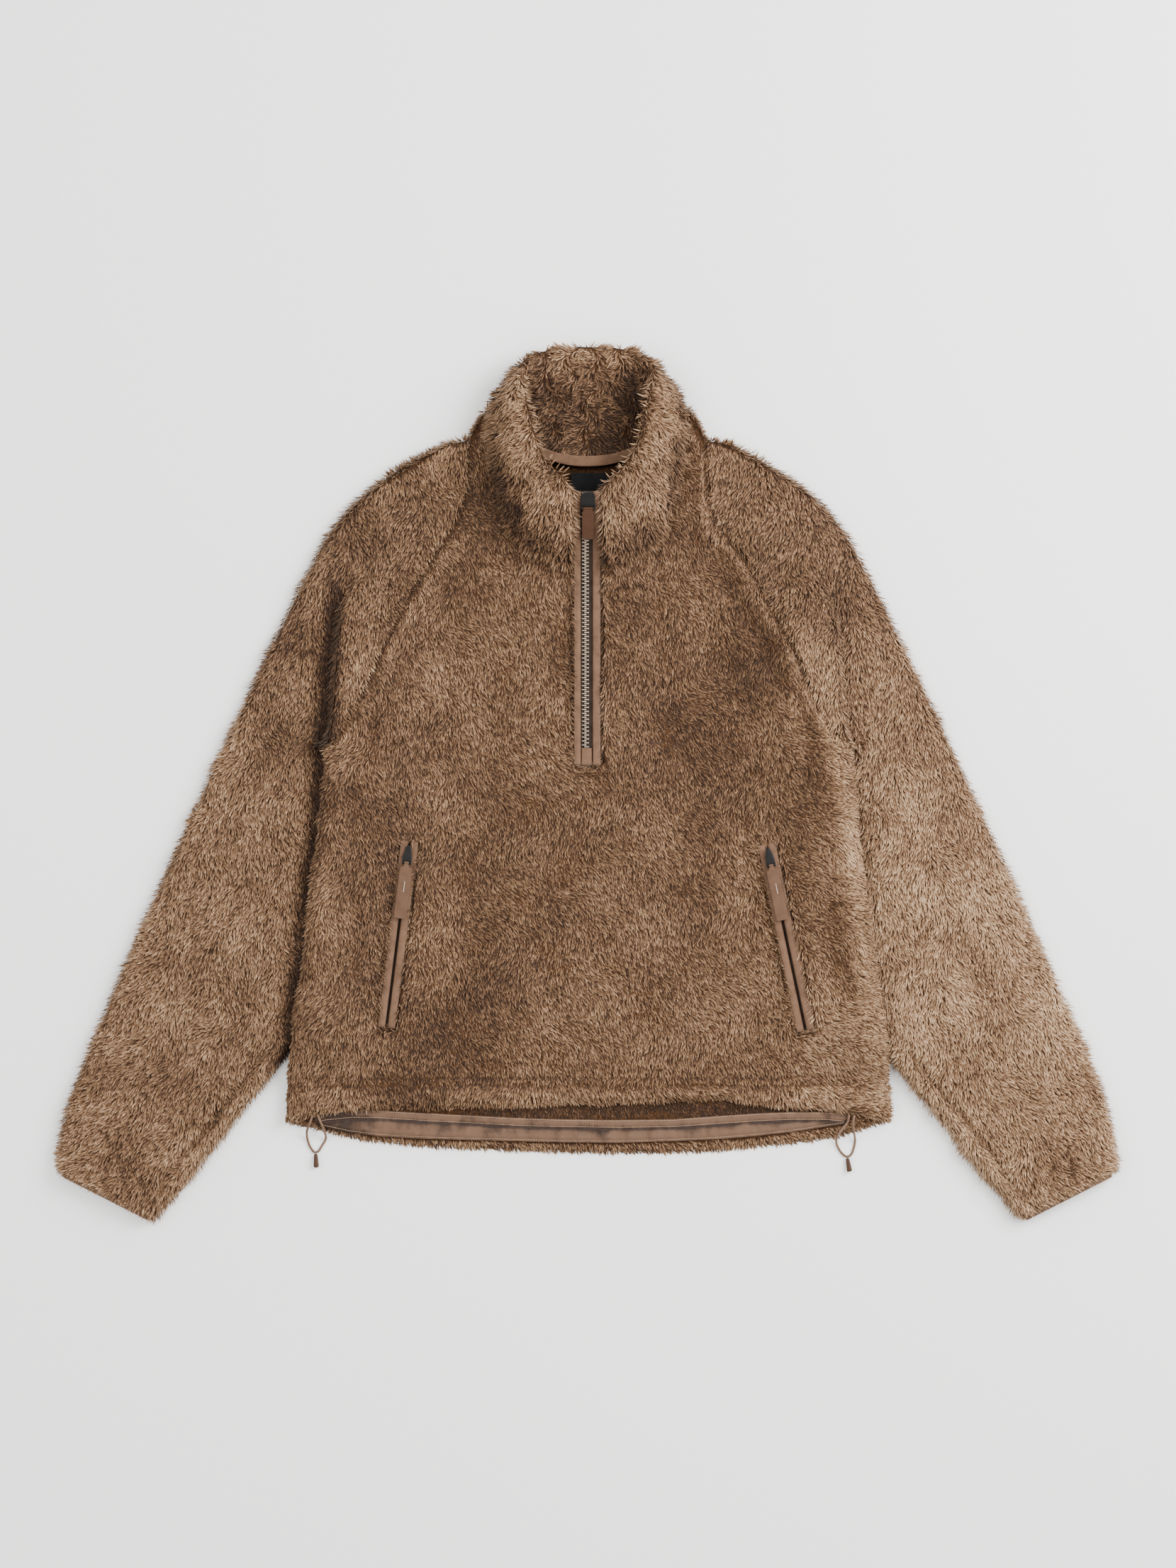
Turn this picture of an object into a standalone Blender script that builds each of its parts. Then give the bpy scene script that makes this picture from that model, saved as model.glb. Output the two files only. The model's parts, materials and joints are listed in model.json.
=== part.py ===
"""Fleece half-zip pullover with raglan sleeves and a stand collar, laid flat on its back.

The garment lies in the XY plane: X across the chest, Y from hem to collar, Z up from the surface.
The back rests on the surface, the front lies on it, and the sleeves swing down beside the body with
their inner edges tucked under it. Sizes below are millimetres; MM turns them into metres.
"""

import math

import bmesh
import bpy
import numpy as np
from mathutils import Matrix, Vector

MM = 0.001

# Cloth: the wall of every layer includes its pile.
GAP = 0.3
PILE_WALL = 7.0
BODY_HEIGHT = 2 * PILE_WALL + 2 * GAP
COLLAR_WALL = 6.2
TAPE = 0.8

# Where the body rides over the tucked part of a sleeve.
SLEEVE_LIFT = BODY_HEIGHT + GAP
LIFT_FLAT = 32.0
LIFT_END = 115.0
LIFT_TOP = (205.0, 140.0)
LIFT_BOTTOM = (-264.0, -218.0)

# Heights above the hem line of the armpit, the placket's end and the neck point.
ARMPIT_Y = 36.0
ARMPIT_NOTCH = 2.0
ZIP_END_Y = 15.8
ZIP_TOP_Y = 255.0
NECK_Y = 194.0
WINDOW_HALF = 13.0

# Plan curves of one half, each row (y, x); the other half is its mirror image.
SLEEVE_OUTER = (
    (306, 104), (300, 124), (289, 143.5), (274, 171), (258, 192.5), (243, 208.5), (227, 222), (212, 231.5),
    (196, 239.5), (165, 255.8), (134, 270.6), (103, 285.5), (72, 300.1), (10, 329.5), (-52, 357.7),
    (-114, 384.7), (-176, 412), (-238, 438.3), (-269, 450.4), (-300, 459.6), (-318, 463.3), (-337, 462.5),
)
FOLD = (
    (212, 215.8), (187, 216.7), (154, 219.2), (109, 222.6), (54, 226), (21, 227.8), (-12, 231.6),
    (-46, 235.9), (-81, 240.2), (-127, 245.5), (-175, 251.7), (-214, 257.5), (-232, 259.8), (-253, 261.6),
    (-279, 263.6), (-296, 263.4),
)
RAGLAN = (
    (333, 86.5), (320, 93), (312, 98.5), (306, 103), (289, 104.6), (258, 106.3), (231, 116.5), (198, 139),
    (158, 161.5), (118, 182.9), (81, 199), (50, 214.4), (34, 223.4),
)
SLEEVE_INNER = (
    (-232, 258.9), (-238, 263.5), (-253, 276.5), (-269, 288.4), (-300, 312.2), (-331, 336.5), (-362, 362.1),
    (-381, 378.8),
)
TUCK = ((34, 5), (10, 17), (-40, 28), (-172, 28), (-195, 15), (-215, 4), (-232, 0.9))

# Hem edges across the garment, each row (x, y).
FRONT_HEM = (
    (-264, -293), (-248, -289), (-220, -285.5), (-195, -283), (-114, -281), (-23, -279), (56, -277),
    (150, -277.5), (172, -282), (200, -284.5), (228, -287), (248, -293), (264, -294.5),
)
BACK_HEM = (
    (-263, -294.5), (-245, -300.4), (-219, -306), (-194, -311.6), (-169, -314), (-120, -317.8), (-80, -319.6),
    (26, -322.1), (115, -320.5), (140, -317.8), (177, -314.6), (218, -309.1), (244, -300.4), (263, -294),
)

# Neck edges of one half, each row (y, x): the front dips to the zip, the back only a little.
FRONT_NECK = (
    (333, 84.9), (300, 85.2), (286, 83.2), (268, 78.5), (249, 73), (234, 68), (213, 53), (202, 33),
    (198, 22), (194, 13),
)
BACK_NECK = (
    (333, 83), (312, 81.5), (305, 75), (298, 66), (288, 52.5), (281, 40), (277, 28), (275.2, 14), (274.5, 2),
)

# The stand collar's middle line, from the zip round to the centre back, each row
# (base x, base y, base z, rim x, rim y, rim z, bulge outwards).
COLLAR = (
    (13.4, 195.5, 15, 13.4, 258, 36, 5),
    (31, 202, 15, 22, 268, 39, 7),
    (51, 213, 15, 35, 281, 41, 8),
    (66, 234, 15, 44, 298, 43, 8),
    (74.5, 268, 15, 49, 318, 44, 8),
    (77.5, 300, 13.5, 54, 342, 42, 9),
    (73, 311, 11, 57, 361, 35, 9),
    (52, 292.5, 7.8, 47, 374.5, 27, 8),
    (27, 280, 7.4, 24, 380.8, 21, 4),
    (0, 277, 7.4, 0, 381.4, 20, 3),
)
COLLAR_COLUMNS = 34
NECK_TAPE_COLUMNS = 4
# Shares of the way from base to rim, and of the full wall there, which rounds off at the rim.
COLLAR_ROWS = ((0, 1), (0.1, 1), (0.25, 1), (0.45, 1), (0.65, 1), (0.82, 1), (0.93, 0.86), (1.0, 0.4))

# Sleeve cross-sections: y of the inner end of each, above and below the armpit; where the outer
# edge of the last one lies; the fold over the body; the soft rise of the upper layer; the round
# outer edge in degrees.
SLEEVE_STEPS = (
    (300, 286, 268, 249, 234, 213, 202, 194, 178, 160, 135, 110, 85, 60, 36.6),
    (35.4, 10, -25, -65, -105, -145, -185, -214, -231, -250, -275, -305, -335, -362, -380),
)
CUFF_OUTER_Y = -337.0
FOLD_DEPTH = 12.0
FOLD_MOUTH = 6.0
FOLD_CLEAR = 11.0
CREASE = 0.6
CROWN = 3.0
CROWN_ROWS = (150.0, -110.0)
END_TURN = (-62, -31, 0, 31, 62)
INNER_TURN = (118, 149, 180, 211, 242)
LINING_INSET = 1.0
LINING_ROUND = 0.8
CUFF_INSET = 5.0
CUFF_BINDING = 5.0
CUFF_RADII = {"outside": 4.2, "inside": 3.2}

# Rows that the front and the back share, so that the two lie on each other all the way.
SHARED_ROWS = (
    -264, -247, -232, -218, -190, -150, -110, -70, -30, ZIP_END_Y, ARMPIT_Y - 2.5, ARMPIT_Y - 1.8,
    60, 85, 110, 135, 160, 178, NECK_Y,
)
SHOULDER_ROWS = (202, 213, 234, 249, 268, 286, 300, 312, 327)
FRONT_HEM_ROWS = (-280, -276)
BACK_HEM_ROWS = (-321, -317, -302, -285)
BACK_NECK_ROWS = (202, 213, 234, 249, 268, 275.2, 278, 286, 300, 312, 327)
EDGE_ROUND = 0.5


# The zip line from the placket's end to the collar's rim: underside of the tape, rows (y, z).
# Then each strip's edges across the garment and its height over the tape.
ZIP_PROFILE = ((10, 8.4), (150, 8.4), (188, 8.8), (203, 14.5), (225, 26), (245, 33), (260, 35.5))
ZIP_ROWS = (60, 120, 165, 188, 196, 203, 213, 225, 236, 246)
TEETH = (-5.0, 1.6)
TEETH_END_Y = 32.0
TEETH_TOP = 2.4
LEFT_STRIP = (-12.1, -5.4)
RIGHT_STRIP = (4.7, 11.7)
STRIP_TOP = 4.6
END_TAB = (-4.4, 4.2)
END_TAB_TOP = 3.6

# Sliders and pulls in their own frame: origin on the hinge, the pull towards -Y, X across, Z up.
# Each slider is (width, length, nose width) and each pull (width, length).
EAR = 1.2
EAR_INSET = 0.6
EAR_SPAN = (-1.3, 1.5)
SLIDER_FRONT = 1.6
SLIDER_SHOULDER = 0.35
PULL_THICK = 1.6
PULL_NECK = (0.5, -3.6, -4.6)
PULL_CLIP = 1.2
BARREL = 1.1
NECK_HINGE = (0.6, 239.6, 40.2)
NECK_SLOPE = math.radians(22.5)
NECK_SLIDER = (13.0, 15.5, 8.0)
NECK_SLIDER_BODY = 1.8
NECK_PULL = (10.6, 28.5)
POCKET_SLIDER = (8.2, 17.0, 4.0)
POCKET_SLIDER_BODY = 1.3
POCKET_PULL = (10.8, 49.0)
POCKET_HINGE = 19.0
POCKET_HINGE_RISE = 4.3

# Slanted welt pockets: side, top (x, y) and bottom (x, y) of the slit. Heights are over the
# front's underside.
POCKETS = (("left", (-155.3, -49.9), (-175.8, -213.0)), ("right", (156.6, -52.4), (190.7, -215.4)))
POCKET_HALF = 8.4
WELT_HALF = 8.0
WELT_HEIGHTS = (2.6, 7.6)
POCKET_TAPE_HEIGHTS = (0.6, 2.2)
POCKET_END = 1.0
CUTTER_TOP = 45.0
SLIT = 2.2

# The facing inside the back hem: across the garment, each row (x, upper y, lower y).
HEM_FACING = (
    (-150, -286.5, -310.5), (-110, -289, -311.5), (-62, -291.8, -312.8), (-20, -293.5, -313.8),
    (26, -294.6, -314.6), (75, -293.6, -313), (120, -291.6, -310.8), (150, -289.8, -310),
)

# The plain label below the back neck seam: left, right, low and high edges.
LABEL = (-14.5, 19.5, 254.0, 272.5)

# The drawcord loops at the hem's ends: route points (x, y, z), out of the hem and back into it.
CORD = 1.7
CORD_LEFT = (
    (-240.6, -289.6, 10.4), (-243, -297, 9.8), (-245.4, -303, 7.6), (-246, -308.5, 3.2),
    (-245, -314, 1.2), (-242.6, -319.5, 1.1), (-240.6, -322.3, 1.1), (-238.3, -323.2, 1.1),
    (-236.2, -322.1, 1.1), (-232.6, -317, 1.1), (-229.6, -311.5, 1.8), (-230, -305.5, 7),
    (-231.8, -300, 9.4), (-234, -295, 9.8), (-236.2, -289.2, 10.4),
)
CORD_RIGHT = (
    (229.2, -289.4, 10.4), (228, -296, 9.8), (223.4, -302, 9.4), (219.6, -308, 7.8),
    (218.4, -313.5, 2.6), (220.6, -320, 1.1), (224.6, -325.2, 1.1), (227.9, -327, 1.1),
    (231, -325.8, 1.1), (233.6, -320.5, 1.1), (234.9, -314, 1.6), (234.3, -308, 4.6),
    (233.4, -303, 8), (232.8, -297, 9.8), (233.8, -290.2, 10.4),
)
CORD_STEP = 4.2
# Toggle ends: where the loop's turn meets each, and its far end, (x, y).
TOGGLES = {"left": ((-238.3, -324.4), (-237.8, -336.6)), "right": ((228.2, -328.2), (230.2, -340.2))}
TOGGLE_RADII = (2.5, 1.9)
TOGGLE_HEIGHT = 2.6

BROWN_FLEECE = (0.335, 0.205, 0.125)
TAUPE_WOVEN = (0.36, 0.26, 0.21)
BLACK_METAL = (0.02, 0.02, 0.022)
GLOSS_BROWN = (0.16, 0.085, 0.05)
TOOTH_GREY = (0.45, 0.43, 0.40)
LABEL_BLACK = (0.015, 0.015, 0.018)


def clear_scene():
    for item in list(bpy.data.objects):
        bpy.data.objects.remove(item, do_unlink=True)


def collection(name):
    made = bpy.data.collections.new(name)
    bpy.context.scene.collection.children.link(made)
    return made


def material(name, color, roughness, metallic=0.0):
    made = bpy.data.materials.new(name)
    made.use_nodes = True
    shader = made.node_tree.nodes["Principled BSDF"]
    shader.inputs["Base Color"].default_value = (*color, 1)
    shader.inputs["Roughness"].default_value = roughness
    shader.inputs["Metallic"].default_value = metallic
    return made


def smooth(t):
    """0 to 1 with level ends."""
    t = np.clip(t, 0, 1)
    return t * t * (3 - 2 * t)


def smooth_line(rows):
    """Reads a two-column table as a smooth curve through each of its rows."""
    at, value = np.array(sorted(rows), float).T
    slope = np.gradient(value, at)

    def read(wanted):
        wanted = np.clip(wanted, at[0], at[-1])
        i = np.clip(np.searchsorted(at, wanted) - 1, 0, len(at) - 2)
        step = at[i + 1] - at[i]
        t = (wanted - at[i]) / step
        start = value[i] * (1 + 2 * t) * (1 - t) ** 2 + slope[i] * step * t * (1 - t) ** 2
        end = value[i + 1] * t * t * (3 - 2 * t) + slope[i + 1] * step * t * t * (t - 1)
        return start + end

    return read


outer_x = smooth_line(SLEEVE_OUTER)
fold_x = smooth_line(FOLD)
raglan_x = smooth_line(RAGLAN)
sleeve_inner_x = smooth_line(SLEEVE_INNER)
tuck = smooth_line(TUCK)
front_hem_y = smooth_line(FRONT_HEM)
back_hem_y = smooth_line(BACK_HEM)
front_neck_x = smooth_line(FRONT_NECK)
back_neck_x = smooth_line(BACK_NECK)
zip_z = smooth_line(ZIP_PROFILE)


def lift_share(y):
    """How much of the lift over the sleeves a row has: none at the shoulders and at the hem."""
    top = smooth((LIFT_TOP[0] - y) / (LIFT_TOP[0] - LIFT_TOP[1]))
    bottom = smooth((y - LIFT_BOTTOM[0]) / (LIFT_BOTTOM[1] - LIFT_BOTTOM[0]))
    return top * bottom


def lift(x, y):
    """Height by which the body rises near its sides, where it lies over the tucked sleeves."""
    inside = fold_x(y) - np.abs(x)
    return SLEEVE_LIFT * lift_share(y) * (1 - smooth((inside - LIFT_FLAT) / (LIFT_END - LIFT_FLAT)))


def add_object(name, bm, where, look):
    """Turns a bmesh in millimetres into a named object in metres."""
    bmesh.ops.scale(bm, vec=(MM, MM, MM), verts=bm.verts)
    bmesh.ops.recalc_face_normals(bm, faces=bm.faces)
    mesh = bpy.data.meshes.new(name)
    bm.to_mesh(mesh)
    bm.free()
    mesh.shade_smooth()
    mesh.set_sharp_from_angle(angle=math.radians(50))
    mesh.materials.append(look)
    made = bpy.data.objects.new(name, mesh)
    where.objects.link(made)
    return made


def wall_between(name, under, over, where, look, keep=None):
    """A cloth wall: a grid of points below and the same grid above, closed round its free edges.

    under and over are arrays of rows, columns and x, y, z; keep(row, column) leaves out cells.
    """
    rows, columns = under.shape[:2]
    bm = bmesh.new()
    number = bm.verts.layers.int.new("number")
    points = []
    ring = np.allclose(under[:, 0], under[:, -1])
    for k, point in enumerate(under.reshape(-1, 3)):
        if ring and k % columns == columns - 1:
            points.append(points[k - columns + 1])
            continue
        vert = bm.verts.new(point)
        vert[number] = k
        points.append(vert)
    for r in range(rows - 1):
        for c in range(columns - 1):
            if keep is None or keep(r, c):
                a = r * columns + c
                bm.faces.new((points[a], points[a + 1], points[a + columns + 1], points[a + columns]))
    loose = [v for v in bm.verts if not v.link_faces]
    bmesh.ops.delete(bm, geom=loose, context="VERTS")
    bmesh.ops.triangulate(bm, faces=bm.faces, quad_method="FIXED")
    raised = bmesh.ops.extrude_face_region(bm, geom=list(bm.faces), use_keep_orig=True)["geom"]
    above = over.reshape(-1, 3)
    for item in raised:
        if isinstance(item, bmesh.types.BMVert):
            item.co = above[item[number]]
    return add_object(name, bm, where, look)


# The body's side edge is the fold over the sleeve, and above the armpit the raglan seam.


def side_x(y):
    return np.where(y > ARMPIT_Y - ARMPIT_NOTCH, raglan_x(y) - GAP, fold_x(y))


def half_columns(x_side, x_middle, count=10):
    """Distances from the middle, from the side edge inwards, with one close to the edge."""
    shares = np.linspace(0, 1, count) ** 1.25
    shares[1] = min(shares[1], 3.5 / max(x_side - x_middle, 8))
    return x_side + (x_middle - x_side) * shares


def body_grid(row_ys, middle_x, hem_y):
    """Points of a front or back panel: each row runs from the left side to the right side."""
    grid = []
    hem_span = SHARED_ROWS[0] - row_ys[0]
    for y in row_ys:
        half = half_columns(float(side_x(np.float64(y))), middle_x(y))
        xs = np.concatenate([-half, half[::-1]])
        pull = max(SHARED_ROWS[0] - y, 0) / hem_span
        ys = y + pull * (hem_y(xs) - row_ys[0])
        grid.append(np.stack([xs, ys], axis=1))
    return np.array(grid)


def edge_round(shape):
    """1 inside a panel and less along its side edges and hem, so that the pile rounds off."""
    full = np.ones(shape)
    full[:, 0] = full[:, -1] = full[0, :] = EDGE_ROUND
    return full


def front_middle(y):
    if y > NECK_Y:
        return float(front_neck_x(np.float64(y)))
    return WINDOW_HALF


def make_front(where, look):
    """Front: one piece, open down the middle for the half zip and at the two pocket slits."""
    rows = [*FRONT_HEM_ROWS, *SHARED_ROWS, *SHOULDER_ROWS]
    plan = body_grid(rows, front_middle, front_hem_y)
    base = PILE_WALL + GAP + lift(plan[..., 0], plan[..., 1])
    full = edge_round(base.shape) * (PILE_WALL + GAP)
    zip_row = rows.index(ZIP_END_Y)
    middle = plan.shape[1] // 2 - 1
    return wall_between(
        "front",
        np.dstack([plan, base]),
        np.dstack([plan, base + full]),
        where,
        look,
        keep=lambda r, c: c != middle or r < zip_row,
    )


def back_middle(y):
    return max(float(back_neck_x(np.float64(y))), WINDOW_HALF)


def make_back(where, look):
    """Back: rests on the surface, and its hem drops below the front's."""
    rows = [*BACK_HEM_ROWS, *SHARED_ROWS, *BACK_NECK_ROWS]
    plan = body_grid(rows, back_middle, back_hem_y)
    base = lift(plan[..., 0], plan[..., 1])
    full = edge_round(base.shape) * PILE_WALL
    neck_row = rows.index(BACK_NECK_ROWS[5])
    middle = plan.shape[1] // 2 - 1
    return wall_between(
        "back",
        np.dstack([plan, base]),
        np.dstack([plan, base + full]),
        where,
        look,
        keep=lambda r, c: c != middle or r < neck_row,
    )


def sleeve_stations():
    """Ends of each cross-section, (inner y, outer y); below the armpit they turn towards the cuff."""
    upper, lower = SLEEVE_STEPS
    slant = (ARMPIT_Y - CUFF_OUTER_Y) / (ARMPIT_Y - lower[-1])
    return [(y, y) for y in upper] + [(y, ARMPIT_Y + (y - ARMPIT_Y) * slant) for y in lower]


def sleeve_edge_x(y):
    """Where a cross-section starts: at the raglan seam, tucked under the body, or at the open edge."""
    y = np.float64(y)
    if y > ARMPIT_Y:
        return float(raglan_x(y)) + GAP
    if y > SLEEVE_INNER[0][0]:
        return float(fold_x(y) - tuck(y))
    return float(sleeve_inner_x(y))


def sleeve_crown(s, start, width, y):
    """The soft rise of the sleeve's upper layer over the part that shows."""
    share = np.clip((s - start) / (width - start), 0, 1)
    grown = smooth((CROWN_ROWS[0] - y) / (CROWN_ROWS[0] - CROWN_ROWS[1]))
    return CROWN * grown * np.sin(math.pi * share)


def fold_profile(s_fold, height, rise):
    """The folded edge, from the sleeve's top inwards: floor of the crease, its roof, the round edge."""
    depth = min(FOLD_DEPTH, 0.75 * s_fold)
    reach = min(rise / 2, 0.55 * s_fold)
    bottom = height + CREASE
    radius = (height + rise - bottom) / 2
    turn = np.radians([-90, -45, 0, 45, 90])
    s = [s_fold + FOLD_MOUTH, s_fold - depth, s_fold - depth]
    z = [height, height, bottom]
    s += list(s_fold - reach + reach * np.cos(turn))
    z += list(bottom + radius + radius * np.sin(turn))
    return np.array(s), np.array(z)


def sleeve_section(inner_y, outer_y):
    """A cross-section's two closed loops, each of (distance from the inner end, height)."""
    inner_x = sleeve_edge_x(inner_y)
    width = math.hypot(float(outer_x(np.float64(outer_y))) - inner_x, inner_y - outer_y)
    hidden = inner_y < ARMPIT_Y
    height = BODY_HEIGHT
    half = height / 2
    end = min(half, width / 3)
    start = half if hidden else 0.0
    s_fold = max(float(fold_x(np.float64(inner_y))) - inner_x, 0.0)
    clear = s_fold if inner_y > SLEEVE_INNER[0][0] else 0.0
    if hidden:
        s_fold = max(s_fold, 0.2 * width)
    s_fold = min(s_fold, width - end - FOLD_CLEAR)
    amount = 0.0 if hidden else float(lift_share(inner_y))
    turn = np.radians(END_TURN)
    outer_end = np.stack([width - end + end * np.cos(turn), half + half * np.sin(turn)], axis=1)
    bottom = np.stack([np.linspace(start, width - end, 4), np.zeros(4)], axis=1)
    top_s = np.linspace(width - end, s_fold + 1.5 * FOLD_MOUTH, 6)
    rise = SLEEVE_LIFT
    fold_s, fold_z = fold_profile(max(s_fold, 1.0), height, rise)
    inner_s = np.linspace(fold_s[-1], start, 6)[1:]
    inside_x = inner_x + inner_s
    cap_z = height + lift(inside_x, np.full(5, float(inner_y)))
    flat_s = np.linspace(s_fold + FOLD_MOUTH, max(start, 0), 14)[:13]
    flat_s[-1] = start
    folded_s = np.concatenate([fold_s, inner_s])
    folded_z = np.concatenate([fold_z, cap_z])
    flat_z = np.full(13, height)
    upper_s = flat_s + (folded_s - flat_s) * amount
    upper_z = flat_z + (folded_z - flat_z) * amount
    top = np.concatenate([
        np.stack([top_s, np.full(6, height)], axis=1),
        np.stack([upper_s, upper_z], axis=1),
    ])
    top[:, 1] += sleeve_crown(top[:, 0], max(clear, 0), width, inner_y) * (top[:, 1] < height + 0.1)
    down = np.radians(INNER_TURN)
    if hidden:
        closing = np.stack([start + half * np.cos(down), half + half * np.sin(down)], axis=1)
    else:
        closing = np.stack([np.zeros(5), np.linspace(top[-1, 1], 0, 7)[1:6]], axis=1)
    loop = np.concatenate([bottom, outer_end, top, closing])
    inset = min(PILE_WALL + LINING_INSET, 0.4 * width)
    low, high = PILE_WALL, height - PILE_WALL
    lining_top_s = np.linspace(width - inset, inset, 19)
    lining = np.concatenate([
        np.stack([np.linspace(inset, width - inset, 4), np.full(4, low)], axis=1),
        np.stack([width - inset + LINING_ROUND * np.cos(turn), np.linspace(low, high, 7)[1:6]], axis=1),
        np.stack([lining_top_s, high + sleeve_crown(lining_top_s, max(clear, 0), width, inner_y)], axis=1),
        np.stack([inset + LINING_ROUND * np.cos(down), np.linspace(high, low, 7)[1:6]], axis=1),
    ])
    return inner_x, width, loop, lining


def sleeve_rings(side):
    """All cross-sections of one sleeve as two arrays of stations, points and x, y, z."""
    outside, inside = [], []
    for inner_y, outer_y in sleeve_stations():
        inner_x, width, loop, lining = sleeve_section(inner_y, outer_y)
        step = np.array([float(outer_x(np.float64(outer_y))) - inner_x, outer_y - inner_y]) / width
        for ring, made in ((loop, outside), (lining, inside)):
            x = (inner_x + step[0] * ring[:, 0]) * side
            y = inner_y + step[1] * ring[:, 0]
            made.append(np.stack([x, y, ring[:, 1]], axis=1))
    return np.array(outside), np.array(inside)


def closed_rings(rings):
    """Repeats each ring's first point, so that a grid of rings closes on itself."""
    return np.concatenate([rings, rings[:, :1]], axis=1)


def make_sleeve(name, side, where, look):
    outside, inside = sleeve_rings(side)
    return wall_between(name, closed_rings(inside), closed_rings(outside), where, look)


def make_cuff_binding(name, side, where, look):
    """The flat woven binding round a cuff, just past the end of the fleece."""
    inner_y = SLEEVE_STEPS[1][-1]
    start = np.array([sleeve_edge_x(inner_y), inner_y])
    stop = np.array([float(outer_x(np.float64(CUFF_OUTER_Y))), CUFF_OUTER_Y])
    width = np.linalg.norm(stop - start)
    along = (stop - start) / width
    out = np.array([along[1], -along[0]])
    turn = np.radians(np.arange(-90, 91, 30))
    rings = {}
    ends = CUFF_INSET + CUFF_RADII["outside"]
    for wall, radius in CUFF_RADII.items():
        right = np.stack([width - ends + radius * np.cos(turn), radius * np.sin(turn)], axis=1)
        left = np.stack([ends - radius * np.cos(turn), -radius * np.sin(turn)], axis=1)
        loop = np.concatenate([right, left])
        made = []
        for past in (GAP, CUFF_BINDING):
            plan = start + np.outer(loop[:, 0], along) + out * past
            made.append(np.stack([plan[:, 0] * side, plan[:, 1], loop[:, 1] + BODY_HEIGHT / 2], axis=1))
        rings[wall] = closed_rings(np.array(made))
    return wall_between(name, rings["inside"], rings["outside"], where, look)


def collar_middle():
    """The collar's middle surface as rows from base to rim, and its outward normals."""
    table = np.array(COLLAR, float)
    left = table.copy()
    left[:, [0, 3]] *= -1
    ring = np.concatenate([left, table[-2::-1]])
    at = np.arange(len(ring))
    wanted = np.linspace(0, len(ring) - 1, COLLAR_COLUMNS + 1)
    lines = [smooth_line(list(zip(at, ring[:, k])))(wanted) for k in range(7)]
    base = np.stack(lines[:3], axis=1)
    rim = np.stack(lines[3:6], axis=1)
    bulge = lines[6]
    along = np.gradient(base + rim, axis=0)
    out = np.cross(rim - base, along)
    out /= np.linalg.norm(out, axis=1)[:, None]
    share = np.array([row[0] for row in COLLAR_ROWS])[:, None, None]
    points = base + (rim - base) * share + out * bulge[:, None] * 4 * share * (1 - share)
    normals = np.cross(np.gradient(points, axis=0), np.gradient(points, axis=1))
    normals /= np.linalg.norm(normals, axis=2)[..., None]
    return points, normals


def make_collar(where, look):
    """The stand collar: an outer and an inner fleece layer, standing open and leaning back."""
    points, normals = collar_middle()
    full = np.array([row[1] for row in COLLAR_ROWS])[:, None, None] * COLLAR_WALL
    near = normals * GAP / 2
    wall_between("collar_outer", points + near, points + near + normals * full, where, look)
    wall_between("collar_inner", points - near - normals * full, points - near, where, look)


def make_neck_tape(where, look):
    """The woven tape over the back neck seam, inside the collar."""
    points, normals = collar_middle()
    middle = COLLAR_COLUMNS // 2
    part = slice(middle - NECK_TAPE_COLUMNS, middle + NECK_TAPE_COLUMNS + 1)
    inner = points - normals * (COLLAR_WALL + GAP / 2 + GAP)
    share = np.array([0.08, 0.95])[:, None, None]
    low = inner[0, part] * (1 - share) + inner[1, part] * share
    out = normals[0, part]
    wall_between("neck_tape", low, low - out * TAPE, where, look)


def zip_strip(name, left_x, right_x, low_y, high_y, low, high, where, look):
    """A flat strip along the zip, between two heights over the tape's underside."""
    ys = [y for y in (low_y, *ZIP_ROWS, high_y) if low_y <= y <= high_y]
    under = np.array([[[x, y, float(zip_z(np.float64(y))) + low] for x in (left_x, right_x)] for y in ys])
    over = under + np.array([0, 0, high - low])
    return wall_between(name, under, over, where, look)


def make_zip(where, woven, teeth):
    """The half zip: its tape, the closed row of moulded teeth, and the two placket strips."""
    zip_strip("zip_tape", LEFT_STRIP[0], RIGHT_STRIP[1], ZIP_END_Y + 0.5, ZIP_TOP_Y, 0, TAPE, where, woven)
    face = TAPE + GAP
    zip_strip("zip_teeth", *TEETH, TEETH_END_Y, ZIP_TOP_Y - 1, face, face + TEETH_TOP, where, teeth)
    low_y = ZIP_END_Y + 0.8
    for name, edges in (("left", LEFT_STRIP), ("right", RIGHT_STRIP)):
        zip_strip("placket_" + name, *edges, low_y, ZIP_TOP_Y, face, STRIP_TOP, where, woven)
    zip_strip("zip_end_tab", *END_TAB, low_y, TEETH_END_Y - 0.5, face, END_TAB_TOP, where, woven)


def plate(outline, low, high):
    """A flat plate of a given outline, between two heights, as a bmesh."""
    bm = bmesh.new()
    face = bm.faces.new([bm.verts.new((x, y, low)) for x, y in outline])
    for item in bmesh.ops.extrude_face_region(bm, geom=[face], use_keep_orig=True)["geom"]:
        if isinstance(item, bmesh.types.BMVert):
            item.co.z = high
    return bm


def barrel(radius, length, height):
    """A cylinder along X at the given height over the origin, as a bmesh."""
    bm = bmesh.new()
    made = bmesh.ops.create_cone(
        bm, cap_ends=True, segments=12, radius1=radius, radius2=radius, depth=length
    )
    for vert in made["verts"]:
        x, y, z = vert.co
        vert.co = (z, y, height - x)
    return bm


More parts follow.
